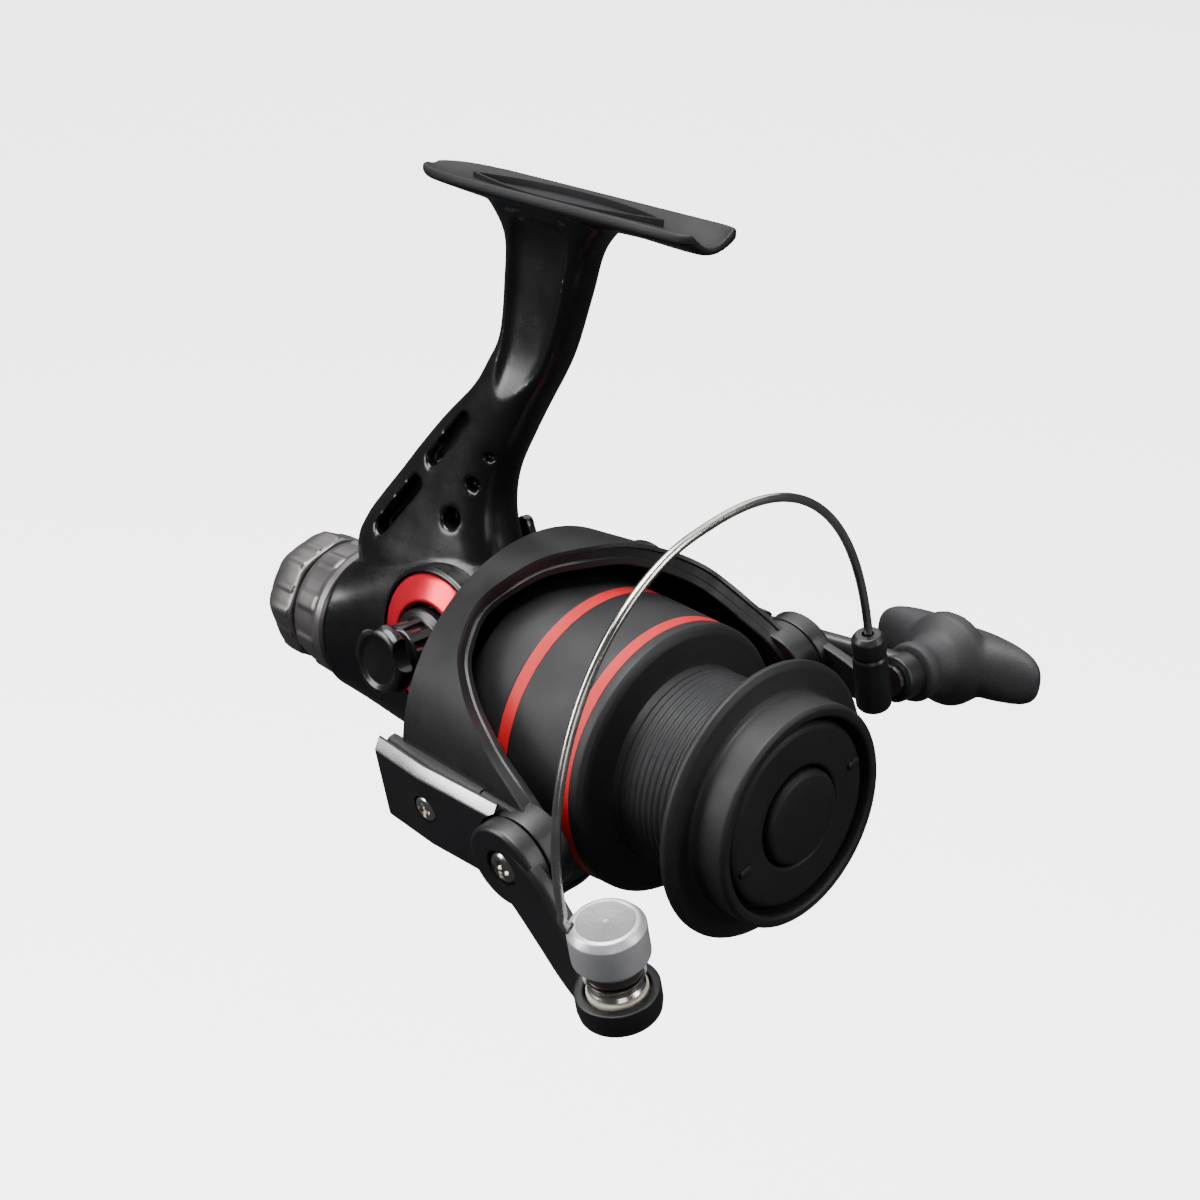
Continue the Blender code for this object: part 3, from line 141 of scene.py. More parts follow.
# ---------------------------------------------------------------- materials
def new_material(name, colour, roughness, metallic=0.0):
    material = bpy.data.materials.new(name)
    material.use_nodes = True
    shader = material.node_tree.nodes["Principled BSDF"]
    shader.inputs["Base Color"].default_value = (*colour, 1.0)
    shader.inputs["Roughness"].default_value = roughness
    shader.inputs["Metallic"].default_value = metallic
    return material, shader, material.node_tree


def noise(tree, scale, detail=4.0, stretch=(1.0, 1.0, 1.0)):
    coords = tree.nodes.new("ShaderNodeTexCoord")
    mapping = tree.nodes.new("ShaderNodeMapping")
    mapping.inputs["Scale"].default_value = stretch
    texture = tree.nodes.new("ShaderNodeTexNoise")
    texture.inputs["Scale"].default_value = scale
    texture.inputs["Detail"].default_value = detail
    tree.links.new(coords.outputs["Object"], mapping.inputs["Vector"])
    tree.links.new(mapping.outputs["Vector"], texture.inputs["Vector"])
    return texture.outputs["Fac"]


def spread(tree, factor, low, high):
    """Map a 0 to 1 value on to a range."""
    node = tree.nodes.new("ShaderNodeMapRange")
    node.inputs["From Min"].default_value = 0.3
    node.inputs["From Max"].default_value = 0.7
    node.inputs["To Min"].default_value = low
    node.inputs["To Max"].default_value = high
    tree.links.new(factor, node.inputs["Value"])
    return node.outputs["Result"]


def two_tone(tree, shader, factor, dark, light):
    ramp = tree.nodes.new("ShaderNodeValToRGB")
    ramp.color_ramp.elements[0].position = 0.3
    ramp.color_ramp.elements[1].position = 0.7
    ramp.color_ramp.elements[0].color = (*dark, 1.0)
    ramp.color_ramp.elements[1].color = (*light, 1.0)
    tree.links.new(factor, ramp.inputs["Fac"])
    tree.links.new(ramp.outputs["Color"], shader.inputs["Base Color"])


def relief(tree, shader, height, strength, distance=0.0002):
    bump = tree.nodes.new("ShaderNodeBump")
    bump.inputs["Strength"].default_value = strength
    bump.inputs["Distance"].default_value = distance
    tree.links.new(height, bump.inputs["Height"])
    tree.links.new(bump.outputs["Normal"], shader.inputs["Normal"])


def surface(name, dark, light, rough, grain, depth, metallic=0.0, stretch=(1.0, 1.0, 1.0), coat=0.0, specular=0.5):
    """A finish with cloudy colour, uneven gloss and a fine grain."""
    material, shader, tree = new_material(name, light, rough[0], metallic)
    shader.inputs["Specular IOR Level"].default_value = specular
    if coat:
        shader.inputs["Coat Weight"].default_value = coat
        shader.inputs["Coat Roughness"].default_value = 0.12
    clouds = noise(tree, 60.0, 5.0, stretch)
    two_tone(tree, shader, clouds, dark, light)
    patches = noise(tree, 140.0, 6.0, stretch)
    tree.links.new(spread(tree, patches, *rough), shader.inputs["Roughness"])
    relief(tree, shader, noise(tree, grain, 3.0, stretch), depth)
    return material


def build_materials():
    made = {}
    made["gloss_black"] = surface("gloss_black_plastic", (0.0035, 0.0035, 0.004), (0.006, 0.006, 0.0065), (0.20, 0.30), 1800, 0.05)
    made["satin_black"] = surface("satin_black_plastic", (0.006, 0.006, 0.0065), (0.010, 0.010, 0.011), (0.34, 0.44), 2600, 0.10)
    made["matte_black"] = spool_material()
    made["cap_black"] = surface("spool_front_black", (0.008, 0.008, 0.009), (0.012, 0.012, 0.013), (0.50, 0.60), 2600, 0.14, specular=0.3)
    made["foot_black"] = surface("foot_black", (0.007, 0.007, 0.008), (0.010, 0.010, 0.011), (0.50, 0.62), 2400, 0.12,
                                 specular=0.25)
    made["soft_grip"] = surface("soft_grip", (0.014, 0.014, 0.015), (0.024, 0.024, 0.026), (0.55, 0.70), 3000, 0.25)
    made["red_anodised"] = surface("red_anodised", (0.60, 0.008, 0.022), (0.82, 0.018, 0.045), (0.18, 0.28), 900, 0.03, 0.6)
    made["grey_plastic"] = surface("gunmetal_plastic", (0.100, 0.093, 0.093), (0.160, 0.148, 0.148), (0.26, 0.38), 1600, 0.08, 0.7)
    made["bright_steel"] = surface("nickel", (0.50, 0.47, 0.43), (0.74, 0.71, 0.66), (0.16, 0.30), 700, 0.04, 1.0)
    made["silver"] = surface("satin_silver", (0.50, 0.50, 0.52), (0.66, 0.66, 0.68), (0.28, 0.42), 3200, 0.16, 0.6)
    made["speckled_silver"] = surface("speckled_silver", (0.16, 0.16, 0.17), (0.34, 0.34, 0.35), (0.40, 0.60), 1500, 0.5, 0.5)
    made["dark_nickel"] = surface("dark_nickel", (0.060, 0.054, 0.048), (0.120, 0.108, 0.096), (0.28, 0.4), 1200, 0.1, 0.8)
    made["brass"] = surface("brass", (0.60, 0.42, 0.16), (0.78, 0.58, 0.25), (0.28, 0.4), 900, 0.05, 1.0)
    made["zinc"] = surface("zinc", (0.36, 0.36, 0.36), (0.50, 0.50, 0.50), (0.40, 0.52), 1100, 0.10, 1.0)
    made["white_nylon"] = surface("cream_nylon", (0.60, 0.54, 0.42), (0.74, 0.68, 0.56), (0.40, 0.5), 1400, 0.06)
    made["felt"] = surface("felt", (0.12, 0.11, 0.10), (0.22, 0.21, 0.20), (0.85, 0.95), 4200, 0.5)
    # painted highlight: bright metallic finish for the up-facing chamfer on the rotor arm covers
    made["painted_highlight_edge"] = surface("painted_highlight_edge", (0.30, 0.28, 0.29), (0.52, 0.49, 0.50), (0.22, 0.34), 1400, 0.05, 0.85)
    return made


def spool_material():
    """Matte black with two red bands round the skirt and fine turning marks."""
    material, shader, tree = new_material("spool_black", (0.012, 0.012, 0.013), 0.4)
    shader.inputs["Specular IOR Level"].default_value = 0.32
    coords = tree.nodes.new("ShaderNodeTexCoord")
    split = tree.nodes.new("ShaderNodeSeparateXYZ")
    tree.links.new(coords.outputs["Object"], split.inputs["Vector"])
    bands = None
    for front, rear in ((-23.9, -26.3), (-39.3, -42.0)):
        middle = (front + rear) / 2 + REEL_ORIGIN.x
        near = tree.nodes.new("ShaderNodeMath")
        near.operation = "COMPARE"
        near.inputs[1].default_value = middle * MM
        near.inputs[2].default_value = (front - rear) / 2 * MM
        tree.links.new(split.outputs["X"], near.inputs[0])
        if bands is None:
            bands = near.outputs["Value"]
        else:
            both = tree.nodes.new("ShaderNodeMath")
            both.operation = "MAXIMUM"
            tree.links.new(bands, both.inputs[0])
            tree.links.new(near.outputs["Value"], both.inputs[1])
            bands = both.outputs["Value"]
    radial = tree.nodes.new("ShaderNodeVectorMath")
    radial.operation = "LENGTH"
    flat = tree.nodes.new("ShaderNodeCombineXYZ")
    lift = tree.nodes.new("ShaderNodeMath")
    lift.operation = "SUBTRACT"
    lift.inputs[1].default_value = REEL_ORIGIN.z * MM
    tree.links.new(split.outputs["Z"], lift.inputs[0])
    tree.links.new(split.outputs["Y"], flat.inputs["Y"])
    tree.links.new(lift.outputs["Value"], flat.inputs["Z"])
    tree.links.new(flat.outputs["Vector"], radial.inputs[0])
    outside = tree.nodes.new("ShaderNodeMath")
    outside.operation = "GREATER_THAN"
    outside.inputs[1].default_value = 25.55 * MM
    tree.links.new(radial.outputs["Value"], outside.inputs[0])
    mask = tree.nodes.new("ShaderNodeMath")
    mask.operation = "MULTIPLY"
    tree.links.new(bands, mask.inputs[0])
    tree.links.new(outside.outputs["Value"], mask.inputs[1])
    clouds = noise(tree, 60.0, 5.0)
    black = tree.nodes.new("ShaderNodeMix")
    black.data_type = "RGBA"
    black.inputs["A"].default_value = (0.008, 0.008, 0.009, 1.0)
    black.inputs["B"].default_value = (0.014, 0.014, 0.015, 1.0)
    tree.links.new(clouds, black.inputs["Factor"])
    paint = tree.nodes.new("ShaderNodeMix")
    paint.data_type = "RGBA"
    paint.inputs["B"].default_value = (0.50, 0.010, 0.014, 1.0)
    tree.links.new(mask.outputs["Value"], paint.inputs["Factor"])
    tree.links.new(black.outputs["Result"], paint.inputs["A"])
    tree.links.new(paint.outputs["Result"], shader.inputs["Base Color"])
    tree.links.new(spread(tree, noise(tree, 160.0, 5.0), 0.46, 0.58), shader.inputs["Roughness"])
    relief(tree, shader, noise(tree, 2800.0, 3.0), 0.12)
    return material


# ---------------------------------------------------------------- mesh helpers
def closed(mesh):
    bmesh.ops.recalc_face_normals(mesh, faces=mesh.faces)
    return mesh


def join_rings(mesh, first, second):
    count = max(len(first), len(second))
    for i in range(count):
        corners = [first[i % len(first)], first[(i + 1) % len(first)]]
        corners += [second[(i + 1) % len(second)], second[i % len(second)]]
        mesh.faces.new(list(dict.fromkeys(corners)))


def fillet(points, radius, loop=False, count=4, even=False):
    """Round the corners of a polyline; even gives every corner the same number of points."""
    result = []
    total = len(points)
    for i, point in enumerate(points):
        here = Vector(point)
        if not loop and i in (0, total - 1):
            result.append(tuple(here))
            continue
        behind = Vector(points[i - 1]) - here
        ahead = Vector(points[(i + 1) % total]) - here
        turn = behind.angle(ahead, 0.0)
        reach = min(radius, behind.length * 0.45, ahead.length * 0.45)
        if not even and (turn > math.radians(165) or reach < 0.02):
            result.append(tuple(here))
            continue
        start = here + behind.normalized() * reach
        end = here + ahead.normalized() * reach
        for k in range(count + 1):
            t = k / count
            result.append(tuple(start * (1 - t) ** 2 + here * 2 * t * (1 - t) + end * t ** 2))
    return result


def turned(profile, steps=128, axis="X", centre=(0.0, 0.0, 0.0), swell=None):
    """Turn (along, radius) points about an axis; the radius may swell with the angle."""
    mesh = bmesh.new()
    rings = []
    for along, radius in profile:
        if radius < 0.001:
            rings.append([mesh.verts.new((along, 0.0, 0.0))])
            continue
        ring = []
        for i in range(steps):
            angle = 2.0 * math.pi * i / steps
            r = radius + (swell(along, radius, angle) if swell else 0.0)
            ring.append(mesh.verts.new((along, r * math.cos(angle), r * math.sin(angle))))
        rings.append(ring)
    pairs = list(zip(rings, rings[1:]))
    if len(rings[0]) > 1 and len(rings[-1]) > 1:
        pairs.append((rings[-1], rings[0]))
    for first, second in pairs:
        join_rings(mesh, first, second)
    turns = {"X": Matrix.Identity(4), "Y": Matrix.Rotation(math.pi / 2, 4, "Z"), "Z": Matrix.Rotation(-math.pi / 2, 4, "Y")}
    mesh.transform(Matrix.Translation(centre) @ turns[axis])
    return closed(mesh)


def loft(rings, capped=True):
    mesh = bmesh.new()
    rows = [[mesh.verts.new(point) for point in ring] for ring in rings]
    for first, second in zip(rows, rows[1:]):
        join_rings(mesh, first, second)
    if capped:
        mesh.faces.new(rows[0])
        mesh.faces.new(rows[-1])
    return closed(mesh)


def flowing(stations, between=6):
    """Catmull-Rom steps through rows of numbers."""
    result = []
    last = len(stations) - 1
    for i in range(last):
        p0 = stations[max(i - 1, 0)]
        p1, p2 = stations[i], stations[i + 1]
        p3 = stations[min(i + 2, last)]
        for k in range(between):
            t = k / between
            row = []
            for a, b, c, d in zip(p0, p1, p2, p3):
                row.append(0.5 * (2 * b + (c - a) * t + (2 * a - 5 * b + 4 * c - d) * t * t + (3 * b - a - 3 * c + d) * t ** 3))
            result.append(tuple(row))
    result.append(tuple(stations[last]))
    return result


def prism(outline, low, high, axis="Y", edge=0.0):
    """Extrude an outline, with an optional chamfer at both ends made by shrinking it about its middle."""
    places = {"X": lambda a, b, t: (t, a, b), "Y": lambda a, b, t: (a, t, b), "Z": lambda a, b, t: (a, b, t)}
    place = places[axis]
    middle = Vector((sum(p[0] for p in outline) / len(outline), sum(p[1] for p in outline) / len(outline)))
    levels = [(low, 0.0), (high, 0.0)]
    if edge:
        levels = [(low, edge), (low + edge * 0.3, edge * 0.3), (low + edge, 0.0), (high - edge, 0.0), (high - edge * 0.3, edge * 0.3),
                  (high, edge)]
    rings = []
    for level, inset in levels:
        ring = []
        for a, b in outline:
            away = Vector((a, b)) - middle
            away -= away.normalized() * inset
            ring.append(place(middle.x + away.x, middle.y + away.y, level))
        rings.append(ring)
    return loft(rings)


def rod(start, end, radius, steps=40):
    start = Vector(start)
    along = Vector(end) - start
    ring = []
    for i in range(steps):
        angle = 2.0 * math.pi * i / steps + 0.07 * (1.0 + radius)
        ring.append((radius * math.cos(angle), radius * math.sin(angle)))
    mesh = prism(ring, 0.0, along.length, "X")
    mesh.transform(Matrix.Translation(start) @ along.to_track_quat("X", "Z").to_matrix().to_4x4())
    return mesh


def box(low, high):
    mesh = bmesh.new()
    bmesh.ops.create_cube(mesh, size=1.0)
    size = Vector(high) - Vector(low)
    mesh.transform(Matrix.Translation((Vector(high) + Vector(low)) / 2) @ Matrix.Diagonal((*size, 1.0)))
    return mesh


def swept(points, radius, sides=16, taper=None):
    points = [Vector(point) for point in points]
    rings = []
    normal = None
    for i, point in enumerate(points):
        tangent = (points[min(i + 1, len(points) - 1)] - points[max(i - 1, 0)]).normalized()
        if normal is None:
            normal = tangent.orthogonal().normalized()
        normal = (normal - tangent * normal.dot(tangent)).normalized()
        side = tangent.cross(normal)
        r = radius * (taper(i / (len(points) - 1)) if taper else 1.0)
        ring = []
        for k in range(sides):
            angle = 2.0 * math.pi * k / sides
            ring.append(point + r * (math.cos(angle) * normal + math.sin(angle) * side))
        rings.append(ring)
    return loft(rings)


def rounded(centre_a, centre_b, half_a, half_b, count=56, power=2.6):
    points = []
    for i in range(count):
        angle = 2.0 * math.pi * i / count
        c, s = math.cos(angle), math.sin(angle)
        a = math.copysign(abs(c) ** (2.0 / power), c) * half_a
        b = math.copysign(abs(s) ** (2.0 / power), s) * half_b
        points.append((centre_a + a, centre_b + b))
    return points


def arc(centre, radius, start, end, count):
    points = []
    for i in range(count):
        angle = math.radians(start + (end - start) * i / (count - 1))
        points.append((centre[0] + radius * math.cos(angle), centre[1] + radius * math.sin(angle)))
    return points


def slot_outline(start, end, radius, count=12):
    heading = math.degrees(math.atan2(end[1] - start[1], end[0] - start[0]))
    return arc(end, radius, heading - 90, heading + 90, count) + arc(start, radius, heading + 90, heading + 270, count)


def smooth_between(table, value):
    for (x0, y0), (x1, y1) in zip(table, table[1:]):
        if value <= x1:
            t = (value - x0) / (x1 - x0)
            t = t * t * (3.0 - 2.0 * t)
            return y0 + (y1 - y0) * t
    return table[-1][1]


# ---------------------------------------------------------------- piece helpers
MATERIALS = build_materials()


def bare(name, mesh, place=TO_WORLD):
    """A plain object from a mesh in reel millimetres."""
    mesh.transform(place)
    data = bpy.data.meshes.new(name)
    mesh.to_mesh(data)
    mesh.free()
    item = bpy.data.objects.new(name, data)
    bpy.context.scene.collection.objects.link(item)
    return item


def combine(target, mesh, operation, place=TO_WORLD, solver="MANIFOLD"):
    """Boolean with a throwaway shape, applied at once."""
    guide = bare("guide", mesh, place)
    modifier = target.modifiers.new("cut", "BOOLEAN")
    modifier.operation = operation
    modifier.solver = solver
    modifier.object = guide
    apply_modifiers(target)
    bpy.data.objects.remove(guide, do_unlink=True)


def apply_modifiers(item):
    graph = bpy.context.evaluated_depsgraph_get()
    graph.update()
    data = bpy.data.meshes.new_from_object(item.evaluated_get(graph), depsgraph=graph)
    old = item.data
    item.modifiers.clear()
    item.data = data
    bpy.data.meshes.remove(old)


def blend(item, grain, passes):
    """Run joined shapes into one skin, softened where they meet."""
    remesh = item.modifiers.new("blend", "REMESH")
    remesh.mode = "VOXEL"
    remesh.voxel_size = grain * MM
    soften = item.modifiers.new("soften", "SMOOTH")
    soften.factor = 0.5
    soften.iterations = passes
    apply_modifiers(item)


def dress(item, finish, body, nodes=(), slot=None, angle=34.0, bevel=0.0, segments=2):
    """Give a piece its edges, finish and place in the frame."""
    if bevel:
        modifier = item.modifiers.new("edges", "BEVEL")
        modifier.width = bevel * MM
        modifier.segments = segments
        modifier.limit_method = "ANGLE"
        modifier.angle_limit = math.radians(32)
        modifier.harden_normals = False
        apply_modifiers(item)
    item.data.materials.clear()
    item.data.materials.append(MATERIALS[finish])
    item.data.shade_smooth()
    item.data.set_sharp_from_angle(angle=math.radians(angle))
    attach(item, body)
    if nodes:
        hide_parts(*nodes)
    return item


def piece(name, mesh, finish, body, nodes=(), slot=None, place=TO_WORLD, **edges):
    return dress(bare(name, mesh, place), finish, body, nodes, slot or finish, **edges)


# ---------------------------------------------------------------- body
def case_rings():
    stations = (
        (-61.5, 1.0, 20.3, 12.5),
        (-70.0, 3.0, 22.8, 11.9),
        (-80.0, 4.2, 23.2, 11.6),
        (-92.0, 3.0, 20.6, 11.6),
        (-102.0, 1.0, 16.6, 12.6),
        (-108.0, 0.0, 14.4, 13.6),
    )
    rings = []
    for x, height, half_height, half_width in flowing(stations, 8):
        rings.append([(x, y, z) for y, z in rounded(0.0, height, half_width, half_height)])
    return rings


def stem_rings():
    stations = (
        (8.0, -106.0, -68.0, 10.0),
        (18.0, -109.0, -66.0, 9.4),
        (24.0, -107.0, -67.0, 8.4),
        (30.0, -102.5, -69.6, 7.4),
        (36.0, -97.5, -70.4, 6.6),
        (42.5, -92.2, -69.2, 6.0),
        (50.0, -85.6, -65.6, 5.5),
        (57.5, -78.2, -61.6, 5.1),
        (63.0, -74.7, -58.4, 4.9),
        (69.0, -71.8, -55.6, 4.8),
        (79.0, -71.2, -52.6, 5.0),
        (88.0, -71.8, -50.0, 5.4),
        (94.6, -78.0, -44.0, 6.2),
    )
    rings = []
    for z, rear, front, half_width in flowing(stations, 6):
        section = rounded((rear + front) / 2, 0.0, (front - rear) / 2, half_width, power=3.0)
        rings.append([(x, y, z) for x, y in section])
    return rings


def panel_cutter(side):
    rings = []
    for z, rear, front, inner in flowing(STEM_PANEL, 5):
        section = rounded((rear + front) / 2, 0.0, (front - rear) / 2, 6.0, 48, 5.0)
        rings.append([(x, side * (inner + 6.0 + y), z) for x, y in section])
    return loft(rings)


def foot_rings():
    """Sections of the foot along X, dished between two rims."""
    stations = (
        (-36.0, 1.4, 1.3, 0.2),
        (-34.5, 3.6, 1.8, 0.6),
        (-31.0, 5.6, 2.6, 1.1),
        (-24.0, 6.8, 3.4, 1.2),
        (-12.0, 7.1, 4.2, 1.1),
        (10.0, 7.1, 4.2, 1.1),
        (22.0, 7.1, 3.8, 1.3),
        (28.0, 7.1, 4.0, 2.2),
        (33.0, 6.9, 4.2, 2.8),
        (35.4, 6.2, 4.2, 2.8),
        (36.0, 5.2, 4.0, 2.6),
    )
    rings = []
    for along, half_width, thick, dish in flowing(stations, 8):
        x = -59.0 + along
        top, low = 96.6, 96.6 - thick
        inner = half_width - min(0.9, half_width * 0.3)
        rim = top - min(1.9, thick * 0.7)
        section = []
        for k in range(9):
            y = half_width * (k / 4.0 - 1.0)
            section.append((y, rim + (low - rim) * (1 - (y / half_width) ** 2)))
        section += [(half_width, top - 0.25), (half_width - 0.25, top), (inner, top)]
        for k in range(1, 8):
            y = inner * (1 - k / 4.0)
            section.append((y, top - dish * (1 - (y / inner) ** 2)))
        section += [(-inner, top), (-half_width + 0.25, top), (-half_width, top - 0.25)]
        rings.append([(x, y, z) for y, z in section])
    return rings


def pocket_outline(half_length, half_width):
    radius = (half_length ** 2 + half_width ** 2) / (2 * half_width)
    swing = math.degrees(math.asin(half_length / radius)) * 0.995
    return (arc((-59.0, half_width - radius), radius, 90 - swing, 90 + swing, 30)
            + arc((-59.0, radius - half_width), radius, 270 - swing, 270 + swing, 30))


def cover_outline(grow=0.0):
    middle = (-82.0, 5.0)
    round_gear = arc(GEAR, 15.4, -50, 100, 30)
    corners = [(-87.0, 22.4), (-96.5, 17.0), (-107.0, 8.5), (-107.2, -4.5), (-99.0, -12.0), (-84.0, -14.0), (-75.0, -13.6),
               (-68.6, -13.4), (-67.6, -7.5)]
    points = []
    for x, z in round_gear + corners:
        away = Vector((x - middle[0], z - middle[1]))
        away *= 1.0 + grow / away.length
        points.append((middle[0] + away.x, middle[1] + away.y))
    return points


def moulded_body():
    """Case, stem, foot and nose run together and softened where they meet, with the stem's panels and slots."""
    item = bare("reel_body", loft(case_rings()))
    for mesh in (loft(stem_rings()), loft(foot_rings()),
                 turned(fillet([(-62.6, 0.0), (-62.6, 17.8), (-55.5, 17.8), (-52.9, 14.0), (-52.9, 0.0)], 0.6), 96)):
        combine(item, mesh, "UNION")
    for side in (-1, 1):
        combine(item, panel_cutter(side), "DIFFERENCE")
        for start, end, radius in STEM_SLOTS:
            deep, out = sorted((side * 3.2, side * 12.0))
            combine(item, prism(slot_outline(start, end, radius), deep, out), "DIFFERENCE")
    blend(item, 0.42, 9)
    return item


def build_body():
    item = moulded_body()
    cover = item.copy()
    cover.data = item.data.copy()
    cover.name = "side_plate"
    bpy.context.scene.collection.objects.link(cover)
    for side, target in ((-1, item), (1, cover)):
        profile = [(0.0, 0.0), (0.0, 15.6), (12.2, 15.6), (12.75, 15.1), (12.75, 0.0)]
        boss = turned([(side * y, r) for y, r in fillet(profile, 0.5)], 96, "Y", (GEAR[0], 0.0, GEAR[1]))
        combine(target, boss, "UNION")
    combine(item, prism(cover_outline(0.3), 7.0, 30.0), "DIFFERENCE")
    combine(cover, prism(cover_outline(), 7.3, 30.0), "INTERSECT")
    cavity = arc(GEAR, 14.7, -88, 118, 40) + [(-91.5, 16.2), (-100.9, 14.2), (-101.0, -10.6), (-95.5, -11.2), (-79.6, -11.2)]
    combine(item, prism(cavity, -9.0, 8.0), "DIFFERENCE")
    for side, target in ((-1, item), (1, item), (1, cover)):
        seat = rod((GEAR[0], side * 11.4, GEAR[1]), (GEAR[0], side * 30.0, GEAR[1]), 14.6, 96)
        combine(target, seat, "DIFFERENCE")
    combine(item, rod((-71.5, 0.0, 0.0), (-59.2, 0.0, 0.0), 4.6), "DIFFERENCE")
    bearing = [(-60.0, 0.0), (-60.0, 6.5), (-58.0, 6.5), (-58.0, 9.8), (-50.0, 9.8), (-50.0, 0.0)]
    combine(item, turned(bearing, 64), "DIFFERENCE")
    combine(item, rod((-112.0, 0.0, 0.0), (-98.0, 0.0, 0.0), 1.9), "DIFFERENCE")
    combine(item, rod((GEAR[0], -13.0, GEAR[1]), (GEAR[0], -8.0, GEAR[1]), 7.8), "DIFFERENCE")
    combine(cover, rod((GEAR[0], 5.0, GEAR[1]), (GEAR[0], 13.0, GEAR[1]), 7.8), "DIFFERENCE")
    combine(item, prism(pocket_outline(24.4, 4.9), 94.4, 96.45, "Z"), "UNION")
    combine(item, prism(pocket_outline(23.0, 4.2), 95.2, 99.0, "Z"), "DIFFERENCE")
    for x, z in ((-103.8, 2.6), (-71.4, -10.5)):
        combine(cover, rod((x, 5.0, z), (x, 14.0, z), 1.3), "DIFFERENCE")
        combine(cover, rod((x, 8.8, z), (x, 14.0, z), 2.4), "DIFFERENCE")
        combine(item, rod((x, 3.2, z), (x, 9.0, z), 1.3), "DIFFERENCE")
    dress(item, "gloss_black", "body", ("housing",), "gloss_black", angle=40)
    second_finish(item, "foot_black", lambda face, middle: middle.z > 92.5 and face.normal.z > -0.2)
    dress(cover, "gloss_black", "body", ("side_cover",), "gloss_black", angle=40)


def second_finish(item, finish, chosen):
    """Give the faces that a rule picks a second finish; the rule sees the face and its middle in millimetres."""
    item.data.materials.append(MATERIALS[finish])
    back = TO_WORLD.inverted()
    for face in item.data.polygons:
        if chosen(face, back @ face.center):
            face.material_index = len(item.data.materials) - 1


def build_rings():
    for name, side in (("near_trim_ring", -1), ("far_trim_ring", 1)):
        section = [(11.7, 14.3), (12.3, 14.3), (12.9, 13.6), (14.2, 10.2), (14.4, 9.6), (14.4, 9.0), (11.7, 9.0)]
        points = [(side * y, r) for y, r in fillet(section, 0.35, True, 3)]
        piece(name + "_turned", turned(points, 128, "Y", (GEAR[0], 0.0, GEAR[1])), "red_anodised", "body", (name,))


def build_rear():
    profile = [(-108.3, 4.2), (-108.3, 13.7), (-108.8, 14.3), (-110.4, 14.4), (-111.6, 13.9), (-116.6, 13.6), (-118.0, 13.3),
               (-118.7, 12.7), (-118.7, 9.6), (-110.6, 9.6), (-110.6, 4.2)]

    def pads(along, radius, angle):
        if radius < 13.0 or not -117.4 < along < -111.4:
            return 0.0
        wave = math.cos(angle * 9.0)
        return 0.45 * max(0.0, min(1.0, (wave - 0.15) * 2.4))

    fine = []
    for (x0, r0), (x1, r1) in zip(profile, profile[1:]):
        count = max(1, int(abs(x1 - x0) / 0.4))
        fine += [(x0 + (x1 - x0) * k / count, r0 + (r1 - r0) * k / count) for k in range(count)]
    fine.append(profile[-1])
    piece("rear_collar", turned(fine, 216, swell=pads), "grey_plastic", "body", ("rear_cover",))


def build_drag_knob():
    profile = [(-123.0, 0.0), (-123.0, 9.6), (-121.0, 10.8), (-119.2, 10.8), (-119.2, 12.7), (-119.6, 13.2), (-121.0, 13.3),
               (-124.6, 13.15), (-127.0, 12.5), (-128.8, 11.0), (-129.7, 8.6), (-129.95, 6.0), (-129.2, 5.0), (-129.1, 0.0)]
    outer = flowing(profile[3:], 5)

    def grips(along, radius, angle):
        if radius < 11.5:
            return 0.0
        facet = 0.30 * math.cos(8 * angle)
        if -126.0 < along < -120.2:
            wave = math.cos(angle * 16.0)
            facet += 0.28 * max(0.0, min(1.0, (wave - 0.35) * 2.5))
        return facet

    piece("drag_dial", turned(profile[:3] + outer, 192, swell=grips), "grey_plastic", "drag_adjuster", ("drag_knob",))


